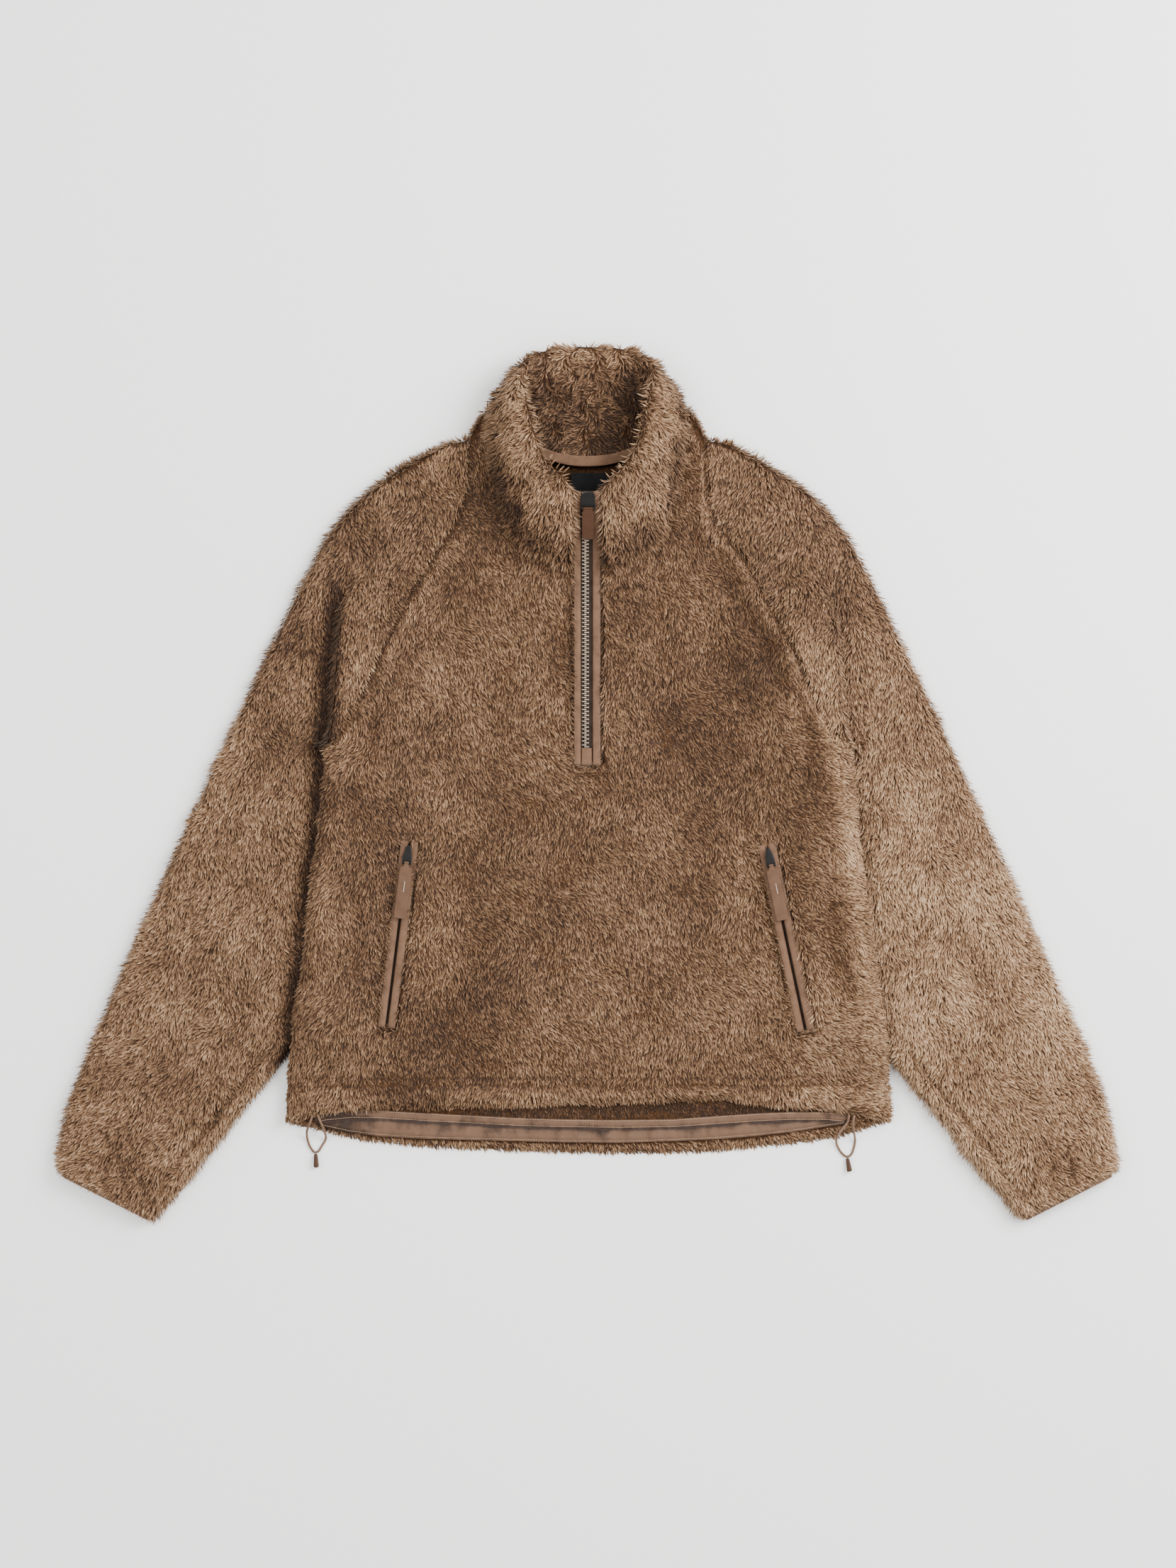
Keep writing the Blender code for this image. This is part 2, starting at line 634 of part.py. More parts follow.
def joined(name, bodies, where, look):
    """One solid from overlapping bodies, by exact Boolean unions."""
    pieces = []
    for bm in bodies:
        bmesh.ops.recalc_face_normals(bm, faces=bm.faces)
        mesh = bpy.data.meshes.new(name)
        bm.to_mesh(mesh)
        bm.free()
        piece = bpy.data.objects.new(name, mesh)
        where.objects.link(piece)
        pieces.append(piece)
    whole = pieces[0]
    for piece in pieces[1:]:
        union = whole.modifiers.new("join", "BOOLEAN")
        union.operation = "UNION"
        union.object = piece
    graph = bpy.context.evaluated_depsgraph_get()
    result = bpy.data.meshes.new_from_object(whole.evaluated_get(graph))
    for piece in pieces:
        bpy.data.objects.remove(piece, do_unlink=True)
    result.transform(Matrix.Scale(MM, 4))
    result.materials.clear()
    result.materials.append(look)
    made = bpy.data.objects.new(name, result)
    where.objects.link(made)
    return made


def place(obj, at, heading, slope):
    """Puts a piece with its origin on its hinge: turned about Z, and tipped along the zip's slope."""
    obj.rotation_mode = "XYZ"
    obj.location = [value * MM for value in at]
    obj.rotation_euler = (slope, 0, heading)


def make_slider(name, wide, long, nose, drop, where, look):
    """A slider: a tapered body below the hinge, and two ears that hold the pull's barrel."""
    half = wide / 2
    shoulder = SLIDER_SHOULDER * long - SLIDER_FRONT
    tip = long - SLIDER_FRONT
    outline = [(-half, -SLIDER_FRONT), (half, -SLIDER_FRONT), (half, shoulder)]
    outline += [(nose / 2, tip), (-nose / 2, tip), (-half, shoulder)]
    bodies = [plate(outline, -drop, -BARREL - GAP)]
    ear = half - EAR_INSET
    for side in (-1, 1):
        edges = sorted((side * ear, side * (ear - EAR)))
        outline = [(x, EAR_SPAN[0]) for x in edges] + [(x, EAR_SPAN[1]) for x in edges[::-1]]
        bodies.append(plate(outline, -BARREL - GAP - 0.5, BARREL))
    return joined(name, bodies, where, look)


def make_pull(name, slot, wide, long, where, look):
    """A pull tab: a barrel between the slider's ears and a flat tab with clipped corners."""
    neck = slot / 2
    half = wide / 2
    start, narrow, full = PULL_NECK
    right = [(neck, start), (neck, narrow), (half, full), (half, PULL_CLIP - long), (half - PULL_CLIP, -long)]
    outline = right + [(-x, y) for x, y in right[::-1]]
    low = -BARREL + 0.1
    return joined(
        name,
        [barrel(BARREL, slot, 0), plate(outline, low, low + PULL_THICK)],
        where,
        look,
    )


def make_neck_slider(where, black, gloss):
    wide, long, nose = NECK_SLIDER
    slider = make_slider("zip_slider", wide, long, nose, BARREL + GAP + NECK_SLIDER_BODY, where, black)
    pull = make_pull("zip_pull", wide - 2 * (EAR_INSET + EAR + GAP), *NECK_PULL, where, gloss)
    place(slider, NECK_HINGE, 0.0, NECK_SLOPE)
    place(pull, NECK_HINGE, 0.0, NECK_SLOPE)


def pocket_frame(top, bottom):
    """Length of a pocket's slit, the direction down it and the direction across it."""
    down = np.array(bottom) - np.array(top)
    length = float(np.linalg.norm(down))
    down = down / length
    return length, down, np.array([-down[1], down[0]])


def pocket_strip(name, top, bottom, span, across, heights, where, look):
    """A strip along a pocket: spans along and across it, and heights over the front's underside."""
    _, down, aside = pocket_frame(top, bottom)
    grid = []
    for along in np.linspace(*span, 8):
        grid.append([np.array(top) + down * along + aside * shift for shift in np.linspace(*across, 3)])
    grid = np.array(grid)
    floor = PILE_WALL + GAP + lift(grid[..., 0], grid[..., 1])
    under = np.dstack([grid, floor + heights[0]])
    over = np.dstack([grid, floor + heights[1]])
    return wall_between(name, under, over, where, look)


def pocket_cutter(name, top, bottom, where):
    """The slanted window through the front that one pocket fills."""
    length, down, aside = pocket_frame(top, bottom)
    corners = []
    low, high = -POCKET_END, length + POCKET_END
    for along, across in ((low, -1), (low, 1), (high, 1), (high, -1)):
        point = np.array(top) + down * along + aside * across * POCKET_HALF
        corners.append(tuple(point))
    bm = plate(corners, 0.0, CUTTER_TOP)
    cutter = add_object(name, bm, where, bpy.data.materials["woven"])
    cutter.hide_render = True
    cutter.display_type = "WIRE"
    return cutter


def make_pockets(front, where, cutters, woven, black):
    """Each pocket: two welts, the tape under the slit, a slider and its cloth-covered pull."""
    for side, top, bottom in POCKETS:
        cut = front.modifiers.new("pocket_" + side, "BOOLEAN")
        cut.operation = "DIFFERENCE"
        cut.object = pocket_cutter("pocket_window_" + side, top, bottom, cutters)
        length, down, aside = pocket_frame(top, bottom)
        whole = (0.0, length)
        for name, edge in (("outer", -1), ("inner", 1)):
            across = sorted((edge * SLIT / 2, edge * WELT_HALF))
            label = f"pocket_welt_{side}_{name}"
            pocket_strip(label, top, bottom, whole, across, WELT_HEIGHTS, where, woven)
        zip_across = (-WELT_HALF, WELT_HALF)
        tape = "pocket_zip_" + side
        pocket_strip(tape, top, bottom, whole, zip_across, POCKET_TAPE_HEIGHTS, where, woven)
        hinge = np.array(top) + down * POCKET_HINGE
        welt_top = PILE_WALL + GAP + float(lift(hinge[0], hinge[1])) + WELT_HEIGHTS[1]
        height = welt_top + POCKET_HINGE_RISE
        ahead = hinge + down * POCKET_PULL[1]
        fall = float(lift(hinge[0], hinge[1]) - lift(ahead[0], ahead[1]))
        slope = math.atan2(fall, POCKET_PULL[1])
        heading = math.atan2(down[0], -down[1])
        wide, long, nose = POCKET_SLIDER
        drop = BARREL + GAP + POCKET_SLIDER_BODY
        slider = make_slider("pocket_slider_" + side, wide, long, nose, drop, where, black)
        slot = wide - 2 * (EAR_INSET + EAR + GAP)
        pull = make_pull("pocket_pull_" + side, slot, *POCKET_PULL, where, woven)
        for piece in (slider, pull):
            place(piece, (*hinge, height), heading, slope)


def make_hem_facing(where, look):
    rows = np.array(HEM_FACING, float)
    edges = [np.stack([rows[:, 0], rows[:, 2] * (1 - t) + rows[:, 1] * t], axis=1) for t in (0, 0.5, 1)]
    plan = np.array(edges)
    low = np.full(plan.shape[:2], PILE_WALL + GAP)
    return wall_between("hem_facing", np.dstack([plan, low]), np.dstack([plan, low + TAPE]), where, look)


def make_label(where, look):
    """The plain label below the back neck seam."""
    left, right, low, high = LABEL
    bm = plate([(left, low), (right, low), (right, high), (left, high)], PILE_WALL + GAP, PILE_WALL + 1.0)
    return add_object("neck_label", bm, where, look)


def smooth_route(points, step):
    """Evenly spaced points on a smooth curve through the route's points."""
    points = np.array(points, float)
    at = np.concatenate([[0], np.cumsum(np.linalg.norm(np.diff(points, axis=0), axis=1))])
    lines = [smooth_line(list(zip(at, points[:, k]))) for k in range(3)]
    fine = np.linspace(0, at[-1], max(int(round(at[-1] / step)), 2) + 1)
    return np.stack([line(fine) for line in lines], axis=1)


def make_cord(name, route, where, look):
    curve = bpy.data.curves.new(name, "CURVE")
    curve.dimensions = "3D"
    curve.bevel_depth = CORD / 2 * MM
    curve.bevel_resolution = 2
    curve.use_fill_caps = True
    spline = curve.splines.new("POLY")
    points = smooth_route(route, CORD_STEP)
    spline.points.add(len(points) - 1)
    for target, point in zip(spline.points, points):
        target.co = (*(point * MM), 1)
    curve.materials.append(look)
    made = bpy.data.objects.new(name, curve)
    where.objects.link(made)
    return made


def make_toggle(name, start, stop, where, look):
    """The moulded end over a cord loop: a cone that widens away from it, lying on the surface."""
    start, stop = np.array(start), np.array(stop)
    length = float(np.linalg.norm(stop - start))
    bm = bmesh.new()
    wide, narrow = TOGGLE_RADII
    bmesh.ops.create_cone(bm, cap_ends=True, segments=14, radius1=wide, radius2=narrow, depth=length)
    heading = math.atan2(stop[0] - start[0], -(stop[1] - start[1]))
    for vert in bm.verts:
        x, y, z = vert.co
        vert.co = Matrix.Rotation(heading, 3, "Z") @ Vector((x, z, y))
        vert.co += Vector((*((start + stop) / 2), TOGGLE_HEIGHT))
    return add_object(name, bm, where, look)


def make_drawcords(where, look, end_look):
    for name, route in (("left", CORD_LEFT), ("right", CORD_RIGHT)):
        make_cord("drawcord_" + name, route, where, look)
        make_toggle("cord_end_" + name, *TOGGLES[name], where, end_look)


def main():
    clear_scene()
    garment = collection("fleece_half_zip_pullover")
    cutters = collection("cutters")
    fleece = material("fleece", BROWN_FLEECE, 0.95)
    woven = material("woven", TAUPE_WOVEN, 0.7)
    teeth = material("teeth", TOOTH_GREY, 0.45)
    black = material("black_metal", BLACK_METAL, 0.35, 0.8)
    gloss = material("gloss_tab", GLOSS_BROWN, 0.25)
    label = material("label", LABEL_BLACK, 0.6)
    front = make_front(garment, fleece)
    make_back(garment, fleece)
    for name, side in (("left", -1), ("right", 1)):
        make_sleeve("sleeve_" + name, side, garment, fleece)
        make_cuff_binding("cuff_binding_" + name, side, garment, woven)
    make_collar(garment, fleece)
    make_neck_tape(garment, woven)
    make_label(garment, label)
    make_zip(garment, woven, teeth)
    make_neck_slider(garment, black, gloss)
    make_pockets(front, garment, cutters, woven, black)
    make_hem_facing(garment, woven)
    make_drawcords(garment, woven, gloss)


main()
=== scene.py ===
# %% [markdown]
# # A fleece half-zip pullover, laid flat
# The real garment is cut from a deep brown fleece: a front, a back, two raglan sleeves and a
# stand collar, with a half zip, two slanted pockets and a cord at the hem. Its solids come from
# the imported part. This lesson dresses them: every fleece piece gets a thin skin of cloth on its
# solid's own form, and tufts grown on that skin. The zip, the pockets and the hem get their
# woven cloth, stitches and metal.

# %% Load the frame
import json
import math

import bmesh
import bpy
import numpy as np
from mathutils import Matrix, Vector

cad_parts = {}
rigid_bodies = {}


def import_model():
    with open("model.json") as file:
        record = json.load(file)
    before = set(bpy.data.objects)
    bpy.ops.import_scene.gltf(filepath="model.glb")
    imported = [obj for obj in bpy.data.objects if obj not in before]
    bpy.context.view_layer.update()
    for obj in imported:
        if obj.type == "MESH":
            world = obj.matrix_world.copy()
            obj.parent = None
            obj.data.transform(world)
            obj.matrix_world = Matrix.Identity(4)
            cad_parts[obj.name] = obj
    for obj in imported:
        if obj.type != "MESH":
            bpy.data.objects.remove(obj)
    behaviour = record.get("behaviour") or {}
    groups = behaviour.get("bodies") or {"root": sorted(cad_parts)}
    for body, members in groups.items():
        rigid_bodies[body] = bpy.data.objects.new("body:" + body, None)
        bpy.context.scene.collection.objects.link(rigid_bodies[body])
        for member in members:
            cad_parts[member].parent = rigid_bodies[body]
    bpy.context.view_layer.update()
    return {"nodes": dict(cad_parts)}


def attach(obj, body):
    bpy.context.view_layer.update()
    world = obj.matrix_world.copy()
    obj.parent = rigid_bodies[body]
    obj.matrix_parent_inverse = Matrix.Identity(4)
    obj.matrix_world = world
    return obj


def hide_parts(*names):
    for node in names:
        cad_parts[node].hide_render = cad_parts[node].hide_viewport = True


for leftover in list(bpy.data.objects):
    bpy.data.objects.remove(leftover)
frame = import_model()
nodes = frame["nodes"]
scene = bpy.context.scene
MM = 0.001

# %% [markdown]
# ## The camera
# The photograph looks straight down on the garment. Counting zip teeth gave 0.62 mm for each
# pixel of it, so the frame's height is a known length on the surface. A camera far above with a
# long lens keeps the edges of the garment from leaning, as they do in the photograph.

# %% Camera straight above
PIXEL = 0.62 * MM
FRAME_HEIGHT = 2212 * PIXEL
CAMERA_HEIGHT = 4.0
CLOTH_LEVEL = 0.015
SENSOR = 24.0

eye = bpy.data.cameras.new("camera_above")
eye.sensor_fit = "VERTICAL"
eye.sensor_height = SENSOR
eye.lens = SENSOR * (CAMERA_HEIGHT - CLOTH_LEVEL) / FRAME_HEIGHT
camera = bpy.data.objects.new("camera_above", eye)
camera.location = (1.0 * PIXEL, 0.0, CAMERA_HEIGHT)
scene.collection.objects.link(camera)
scene.camera = camera
print("lens", round(eye.lens, 1), "mm")

# %% [markdown]
# ## The drawcord
# A cord runs in the hem and comes out at both side seams. Each loop leaves the hem, drops to the
# surface, turns through its toggle and goes back in. The points follow the part's route, with the
# left loop's turn taken by fewer of them, and a curve with a round bevel runs through them. The
# cord is what moves most easily, so it comes first.

# %% Cord loops
CORD_WIDTH = 2.0 * MM
CORD_ROUTES = {
    "left": (
        (-240.6, -289.6, 10.4), (-243, -297, 9.8), (-245.4, -303, 7.6), (-246, -308.5, 3.2),
        (-245, -314, 1.2), (-242.6, -319.5, 1.1), (-238.3, -323.3, 1.1),
        (-232.6, -317, 1.1), (-229.6, -311.5, 1.8), (-230, -305.5, 7),
        (-231.8, -300, 9.4), (-234, -295, 9.8), (-236.2, -289.2, 10.4),
    ),
    "right": (
        (229.2, -289.4, 10.4), (228, -296, 9.8), (223.4, -302, 9.4), (219.6, -308, 7.8),
        (218.4, -313.5, 2.6), (220.6, -320, 1.1), (224.6, -325.2, 1.1), (227.9, -327, 1.1),
        (231, -325.8, 1.1), (233.6, -320.5, 1.1), (234.9, -314, 1.6), (234.3, -308, 4.6),
        (233.4, -303, 8), (232.8, -297, 9.8), (233.8, -290.2, 10.4),
    ),
}


def round_curve(name, points, width):
    """A round cord of that width through points, in metres."""
    line = bpy.data.curves.new(name, "CURVE")
    line.dimensions = "3D"
    line.bevel_depth = width / 2
    line.bevel_resolution = 3
    line.use_fill_caps = True
    spline = line.splines.new("BEZIER")
    spline.bezier_points.add(len(points) - 1)
    for knot, point in zip(spline.bezier_points, points):
        knot.co = point
        knot.handle_left_type = knot.handle_right_type = "AUTO"
    spline.resolution_u = 4
    made = bpy.data.objects.new(name, line)
    scene.collection.objects.link(made)
    return made


cords = {}
for side, route in CORD_ROUTES.items():
    points = [Vector(p) * MM for p in route]
    cords[side] = round_curve("hem_cord_" + side, points, CORD_WIDTH)
    steps = [(b - a).length for a, b in zip(points, points[1:])]
    print(side, "cord", round(sum(steps) / MM, 1), "mm")

# %% [markdown]
# ## Lines, troughs and waves
# The creases, seams and nap follow lines on the garment, given as short tables in millimetres.
# One helper measures how far each point of a mesh is from such a line, and how far along the line
# it lies. A soft trough is then a bell shape of that distance, fading out at both ends.

# %% Distance to a line, and soft shapes of it
def along_line(points, line):
    """For points (n, 2): distance to a polyline, share of its length, and side of it."""
    line = np.array(line, float)
    steps = np.diff(line, axis=0)
    lengths = np.linalg.norm(steps, axis=1)
    begun = np.concatenate([[0], np.cumsum(lengths)])
    best = np.full(len(points), np.inf)
    share = np.zeros(len(points))
    side = np.zeros(len(points))
    for start, step, length, before in zip(line, steps, lengths, begun):
        away = points - start
        t = np.clip(away @ step / length**2, 0, 1)
        offset = away - t[:, None] * step
        distance = np.linalg.norm(offset, axis=1)
        nearer = distance < best
        best[nearer] = distance[nearer]
        share[nearer] = (before + t[nearer] * length) / begun[-1]
        side[nearer] = np.sign(step[0] * away[nearer, 1] - step[1] * away[nearer, 0])
    return best, share, side


def bell(distance, width):
    """1 at no distance, falling to nearly nothing at twice the width."""
    return np.exp(-((distance / width) ** 2))


def smooth_step(t):
    """0 below 0, 1 above 1 and an even slope between."""
    t = np.clip(t, 0, 1)
    return t * t * (3 - 2 * t)


def fade(share, run):
    """0 at both ends of a line and 1 along its middle."""
    return smooth_step(np.minimum(share, 1 - share) / run)


def unit(vectors, least=1e-9):
    """Each row scaled to length 1; rows shorter than least stay short."""
    return vectors / np.maximum(np.linalg.norm(vectors, axis=1), least)[:, None]


def left_of(ways):
    """Each direction in the plan turned a quarter to the left."""
    return np.stack([-ways[:, 1], ways[:, 0]], axis=1)


def waves(points, size, seed):
    """A soft random field of about -1 to 1 over the plan, made of a few crossing waves."""
    rng = np.random.default_rng(seed)
    total = np.zeros(len(points))
    for _ in range(9):
        turn = rng.uniform(0, 2 * math.pi)
        length = size * rng.uniform(0.7, 1.7)
        along = points @ np.array([math.cos(turn), math.sin(turn)])
        total += np.sin(2 * math.pi * along / length + rng.uniform(0, 2 * math.pi))
    return total / 3.2


# %% [markdown]
# ## The lines of the garment
# These are the seams and folds that show as soft grooves or ridges in the fleece: the raglan
# seams, the fold where the body lies over each sleeve, the twice-stitched hem, the underarm
# seams and a few creases where the cloth gathers. Each row of BODY_CREASES and SLEEVE_CREASES
# gives a line, its width and its height, in millimetres; a trough has a height below nought.

# %% Seam and crease tables
RAGLAN = (
    (86, 326), (98, 308), (106, 289), (106, 262), (116, 231), (139, 198), (161, 158), (183, 118),
    (199, 81), (213, 52), (222, 36),
)
FOLD = (
    (216, 212), (217, 187), (219, 154), (223, 109), (226, 54), (228, 21), (232, -12), (236, -46),
    (240, -81), (245, -127), (252, -175), (257, -214), (260, -232), (262, -253), (263, -290),
)
UNDERARM = (
    (259, -226), (263, -233), (276, -249), (288, -265), (312, -296), (337, -327), (360, -358),
    (374, -376),
)
HEM_STITCHES = (-254.5, -261.3)


def mirrored(line):
    return [(-x, y) for x, y in line]


def directions(line):
    return unit(np.gradient(line, axis=0))


def shifted(line, across):
    """The line moved sideways, to the left of its direction."""
    line = np.array(line, float)
    return line + across * left_of(directions(line))


RAGLANS = (RAGLAN, mirrored(RAGLAN))

BODY_CREASES = [
    (RAGLAN, 3.2, -2.2), (mirrored(RAGLAN), 3.2, -2.2),
    (shifted(RAGLAN[3:], -10), 5, 1.9), (shifted(mirrored(RAGLAN[3:]), 10), 6, 1.2),
    (shifted(RAGLAN[3:], -26), 9, -1.8), (shifted(mirrored(RAGLAN[3:]), 24), 9, -1.2),
    (shifted(FOLD[1:12], -14), 9, 1.6), (shifted(mirrored(FOLD[1:12]), 14), 9, 1.8),
    # Soft gathers below the shoulders and over the chest.
    (((-190, 150), (-187, 105), (-190, 62), (-184, 20)), 6, -2.4),
    (((190, 128), (186, 84), (192, 40), (187, -10)), 6, -1.8),
    (((-205, 170), (-172, 142), (-146, 128)), 5, -1.6),
    (((204, 162), (170, 132), (140, 112)), 5, -1.5),
    (((-60, 178), (-66, 128), (-82, 74), (-78, 20)), 12, -1.4),
    (((62, 182), (70, 120), (66, 58), (82, -6)), 12, -1.3),
    (((-208, -60), (-200, -120), (-206, -178)), 8, -1.6),
    (((214, -64), (210, -128), (220, -188)), 8, -1.6),
    (((-120, -40), (-96, -96), (-104, -160)), 14, -1.3),
    (((108, -30), (96, -92), (110, -170)), 14, -1.3),
    (((-30, -60), (-38, -128), (-24, -196)), 14, -1.1),
    (((44, -84), (36, -150), (48, -214)), 14, -1.1),
]
SLEEVE_CREASES = [
    (shifted(UNDERARM, 15), 3.2, -3.0), (shifted(UNDERARM, 7), 5, 1.0),
    (((246, 176), (262, 120), (292, 62)), 10, -1.5),
    (((262, 60), (300, -4), (330, -76)), 12, -1.6),
    (((300, -60), (322, -130), (362, -196)), 12, -1.5),
    (((330, -184), (366, -242), (392, -296)), 10, -1.4),
    (((286, -150), (306, -212), (346, -268)), 9, -1.2),
    # Short puckers where the cuff binding draws the fleece in.
    (((388, -340), (384, -364)), 3.5, -2.0), (((404, -330), (402, -358)), 3.5, -1.8),
    (((420, -322), (422, -350)), 3.5, -2.2), (((437, -312), (440, -342)), 3.5, -1.8),
]


def patches(plan, rows):
    """Soft round patches of light and shade, placed to suit the photograph's light.

    Each row is x, y and reach in millimetres and an amount: 0.1 is a slight change of the fleece's
    tone, and 0.3 a strong one.
    """
    total = np.zeros(len(plan))
    for x, y, reach, amount in rows:
        total += amount * bell(np.linalg.norm(plan - (x, y), axis=1), reach)
    return total


def trough(plan, line, width, amount, run=0.05):
    """The amount on a line and 0 away from it, fading over a share of its length at both ends."""
    distance, share, _ = along_line(plan, line)
    return amount * bell(distance, width) * fade(share, run)


def crease_height(plan, creases):
    """How far each point of the cloth sinks or rises, in millimetres."""
    height = np.zeros(len(plan))
    for line, width, rise in creases:
        height += trough(plan, line, width, rise, 0.15)
    return height


# %% [markdown]
# ## The skin under the fur
# Fleece is a knitted cloth brushed until its loops stand up. Under the tufts there is a thin
# cloth. Each piece's skin is a copy of its solid with the loose triangles merged, joined back
# into four-sided faces and rounded by a Subdivision Surface. It is then drawn in by about the
# depth of the fur. The tufts lean, so their tips end near the solid's own surface; at the edges
# of the garment the tallest stand up to 8 mm past it.

# %% A rounded copy of a solid
FUR_DEPTH = 2.4 * MM
JOIN_ANGLE = 1.2
CUT_EDGE_ANGLE = 0.9
CUT_EDGE_CREASE = 0.7
SKIN_LEVELS, BED_LEVELS = 2, 3


def mesh_object(name, mesh):
    made = bpy.data.objects.new(name, mesh)
    scene.collection.objects.link(made)
    return made


def applied(obj, name):
    """A plain mesh object of what obj's modifiers make; obj itself is removed."""
    graph = bpy.context.evaluated_depsgraph_get()
    mesh = bpy.data.meshes.new_from_object(obj.evaluated_get(graph))
    mesh.name = name
    bpy.data.objects.remove(obj)
    return mesh_object(name, mesh)


def mesh_of(bm, name):
    """A mesh of what bm holds; bm is used up."""
    mesh = bpy.data.meshes.new(name)
    bm.to_mesh(mesh)
    bm.free()
    return mesh


def rounded_off(bm, name, levels):
    """A smooth plain mesh of the cage in bm, rounded by a Subdivision Surface."""
    cage = mesh_object(name + "_cage", mesh_of(bm, name + "_cage"))
    rounding = cage.modifiers.new("rounding", "SUBSURF")
    rounding.levels = rounding.render_levels = levels
    made = applied(cage, name)
    made.data.shade_smooth()
    return made


def rounded_copy(name, node, levels):
    """The solid of a node, merged and rounded off; its cut edges keep most of their sharpness."""
    bm = bmesh.new()
    bm.from_mesh(nodes[node].data)
    bmesh.ops.remove_doubles(bm, verts=bm.verts, dist=0.001 * MM)
    bmesh.ops.join_triangles(
        bm, faces=bm.faces, angle_face_threshold=JOIN_ANGLE, angle_shape_threshold=JOIN_ANGLE,
    )
    crease = bm.edges.layers.float.new("crease_edge")
    for edge in bm.edges:
        if edge.calc_face_angle(0) > CUT_EDGE_ANGLE:
            edge[crease] = CUT_EDGE_CREASE
    return rounded_off(bm, name, levels)


def vertex_arrays(mesh):
    """The places and the normals of a mesh's points, each as rows of three."""
    count = len(mesh.vertices)
    places = np.empty(count * 3)
    normals = np.empty(count * 3)
    mesh.vertices.foreach_get("co", places)
    mesh.vertex_normals.foreach_get("vector", normals)
    return places.reshape(-1, 3), normals.reshape(-1, 3)


def set_places(mesh, places):
    mesh.vertices.foreach_set("co", places.ravel())
    mesh.update()


def store(mesh, name, values, kind="FLOAT"):
    """Puts a value, or a vector, on each point of a mesh."""
    layer = mesh.attributes.new(name, kind, "POINT")
    key = "vector" if kind == "FLOAT_VECTOR" else "value"
    layer.data.foreach_set(key, np.ascontiguousarray(values).ravel())


def laid_skin(name, node, levels, creases, depth=FUR_DEPTH):
    """The rounded copy, drawn in where it faces up or aside, with creases pressed in.

    Beside the raglan seams it is drawn in from above only, so that both sides of a seam meet.
    """
    made = rounded_copy(name, node, levels)
    places, normals = vertex_arrays(made.data)
    plan = places[:, :2] / MM
    upward = smooth_step((normals[:, 2] + 0.5) / 0.7)
    drawn = normals * (depth * upward)[:, None]
    for line in RAGLANS:
        distance, _, _ = along_line(plan, line)
        drawn[:, :2] *= 1 - smooth_step((12 - distance) / 6)[:, None]
    places -= drawn
    unevenness = 0.5 * waves(plan, 55, 3) * smooth_step((normals[:, 2] - 0.3) / 0.4)
    rise = crease_height(plan, creases) + unevenness
    places[:, 2] += MM * rise * smooth_step((normals[:, 2] - 0.1) / 0.6)
    set_places(made.data, places)
    return made


# %% [markdown]
# ## Fleece colours
# In the photograph the fleece is a warm brown: pale tan where the tips of the tufts catch the
# light, and a deep reddish brown down between them; both are painted into the colour, as painted
# light at the tips and painted shade at the roots. Each tuft therefore carries how far along it a
# point lies, a tone of its own, and a shade for its place on the garment, which is painted light
# and shade for the light across it, its edges and its creases. The material mixes the colours
# from those three.

# %% Materials of the fleece
def new_material(name):
    made = bpy.data.materials.new(name)
    made.use_nodes = True
    tree = made.node_tree
    return made, tree, tree.nodes["Principled BSDF"]


def feed(tree, node, inputs):
    """Gives each named input its value, or a link where it is given a socket."""
    for key, value in inputs.items():
        if isinstance(value, bpy.types.NodeSocket):
            tree.links.new(value, node.inputs[key])
        else:
            node.inputs[key].default_value = value


def add_node(tree, kind, inputs=None, **settings):
    node = tree.nodes.new(kind)
    for key, value in settings.items():
        setattr(node, key, value)
    feed(tree, node, inputs or {})
    return node


def attribute(tree, name):
    return add_node(tree, "ShaderNodeAttribute", attribute_name=name).outputs["Fac"]


def arithmetic(tree, operation, *values):
    return add_node(tree, "ShaderNodeMath", dict(enumerate(values)), operation=operation).outputs[0]


def colour_ramp(tree, amount, stops):
    node = add_node(tree, "ShaderNodeValToRGB", {"Fac": amount})
    ramp = node.color_ramp
    while len(ramp.elements) < len(stops):
        ramp.elements.new(0.5)
    for element, (place, colour) in zip(ramp.elements, stops):
        element.position = place
        element.color = (*colour, 1)
    return node.outputs["Color"]


def object_noise(tree, size, detail=3.0, roughness=0.6):
    """Noise on the piece's own coordinates with features of about that size, in metres."""
    place = add_node(tree, "ShaderNodeTexCoord").outputs["Object"]
    inputs = {"Vector": place, "Scale": 1 / size, "Detail": detail, "Roughness": roughness}
    return add_node(tree, "ShaderNodeTexNoise", inputs).outputs["Fac"]


def bumped(tree, height, depth):
    """The normals of a surface that rises and sinks by height."""
    return add_node(tree, "ShaderNodeBump", {"Height": height, "Distance": depth}).outputs["Normal"]


# From root to tip: painted shade down between the tufts, the fleece's brown, and painted light at
# the tips.
FLEECE_STOPS = (
    (0.0, (0.020, 0.008, 0.003)),
    (0.3, (0.086, 0.041, 0.0175)),
    (0.6, (0.205, 0.113, 0.057)),
    (1.0, (0.470, 0.312, 0.190)),
)
# Size, detail and strength of the fleece's broad patches, fine streaks and clumps.
FLEECE_NOISES = ((0.05, 3, 0.4), (0.0014, 2, 0.6), (0.0065, 2, 0.6))


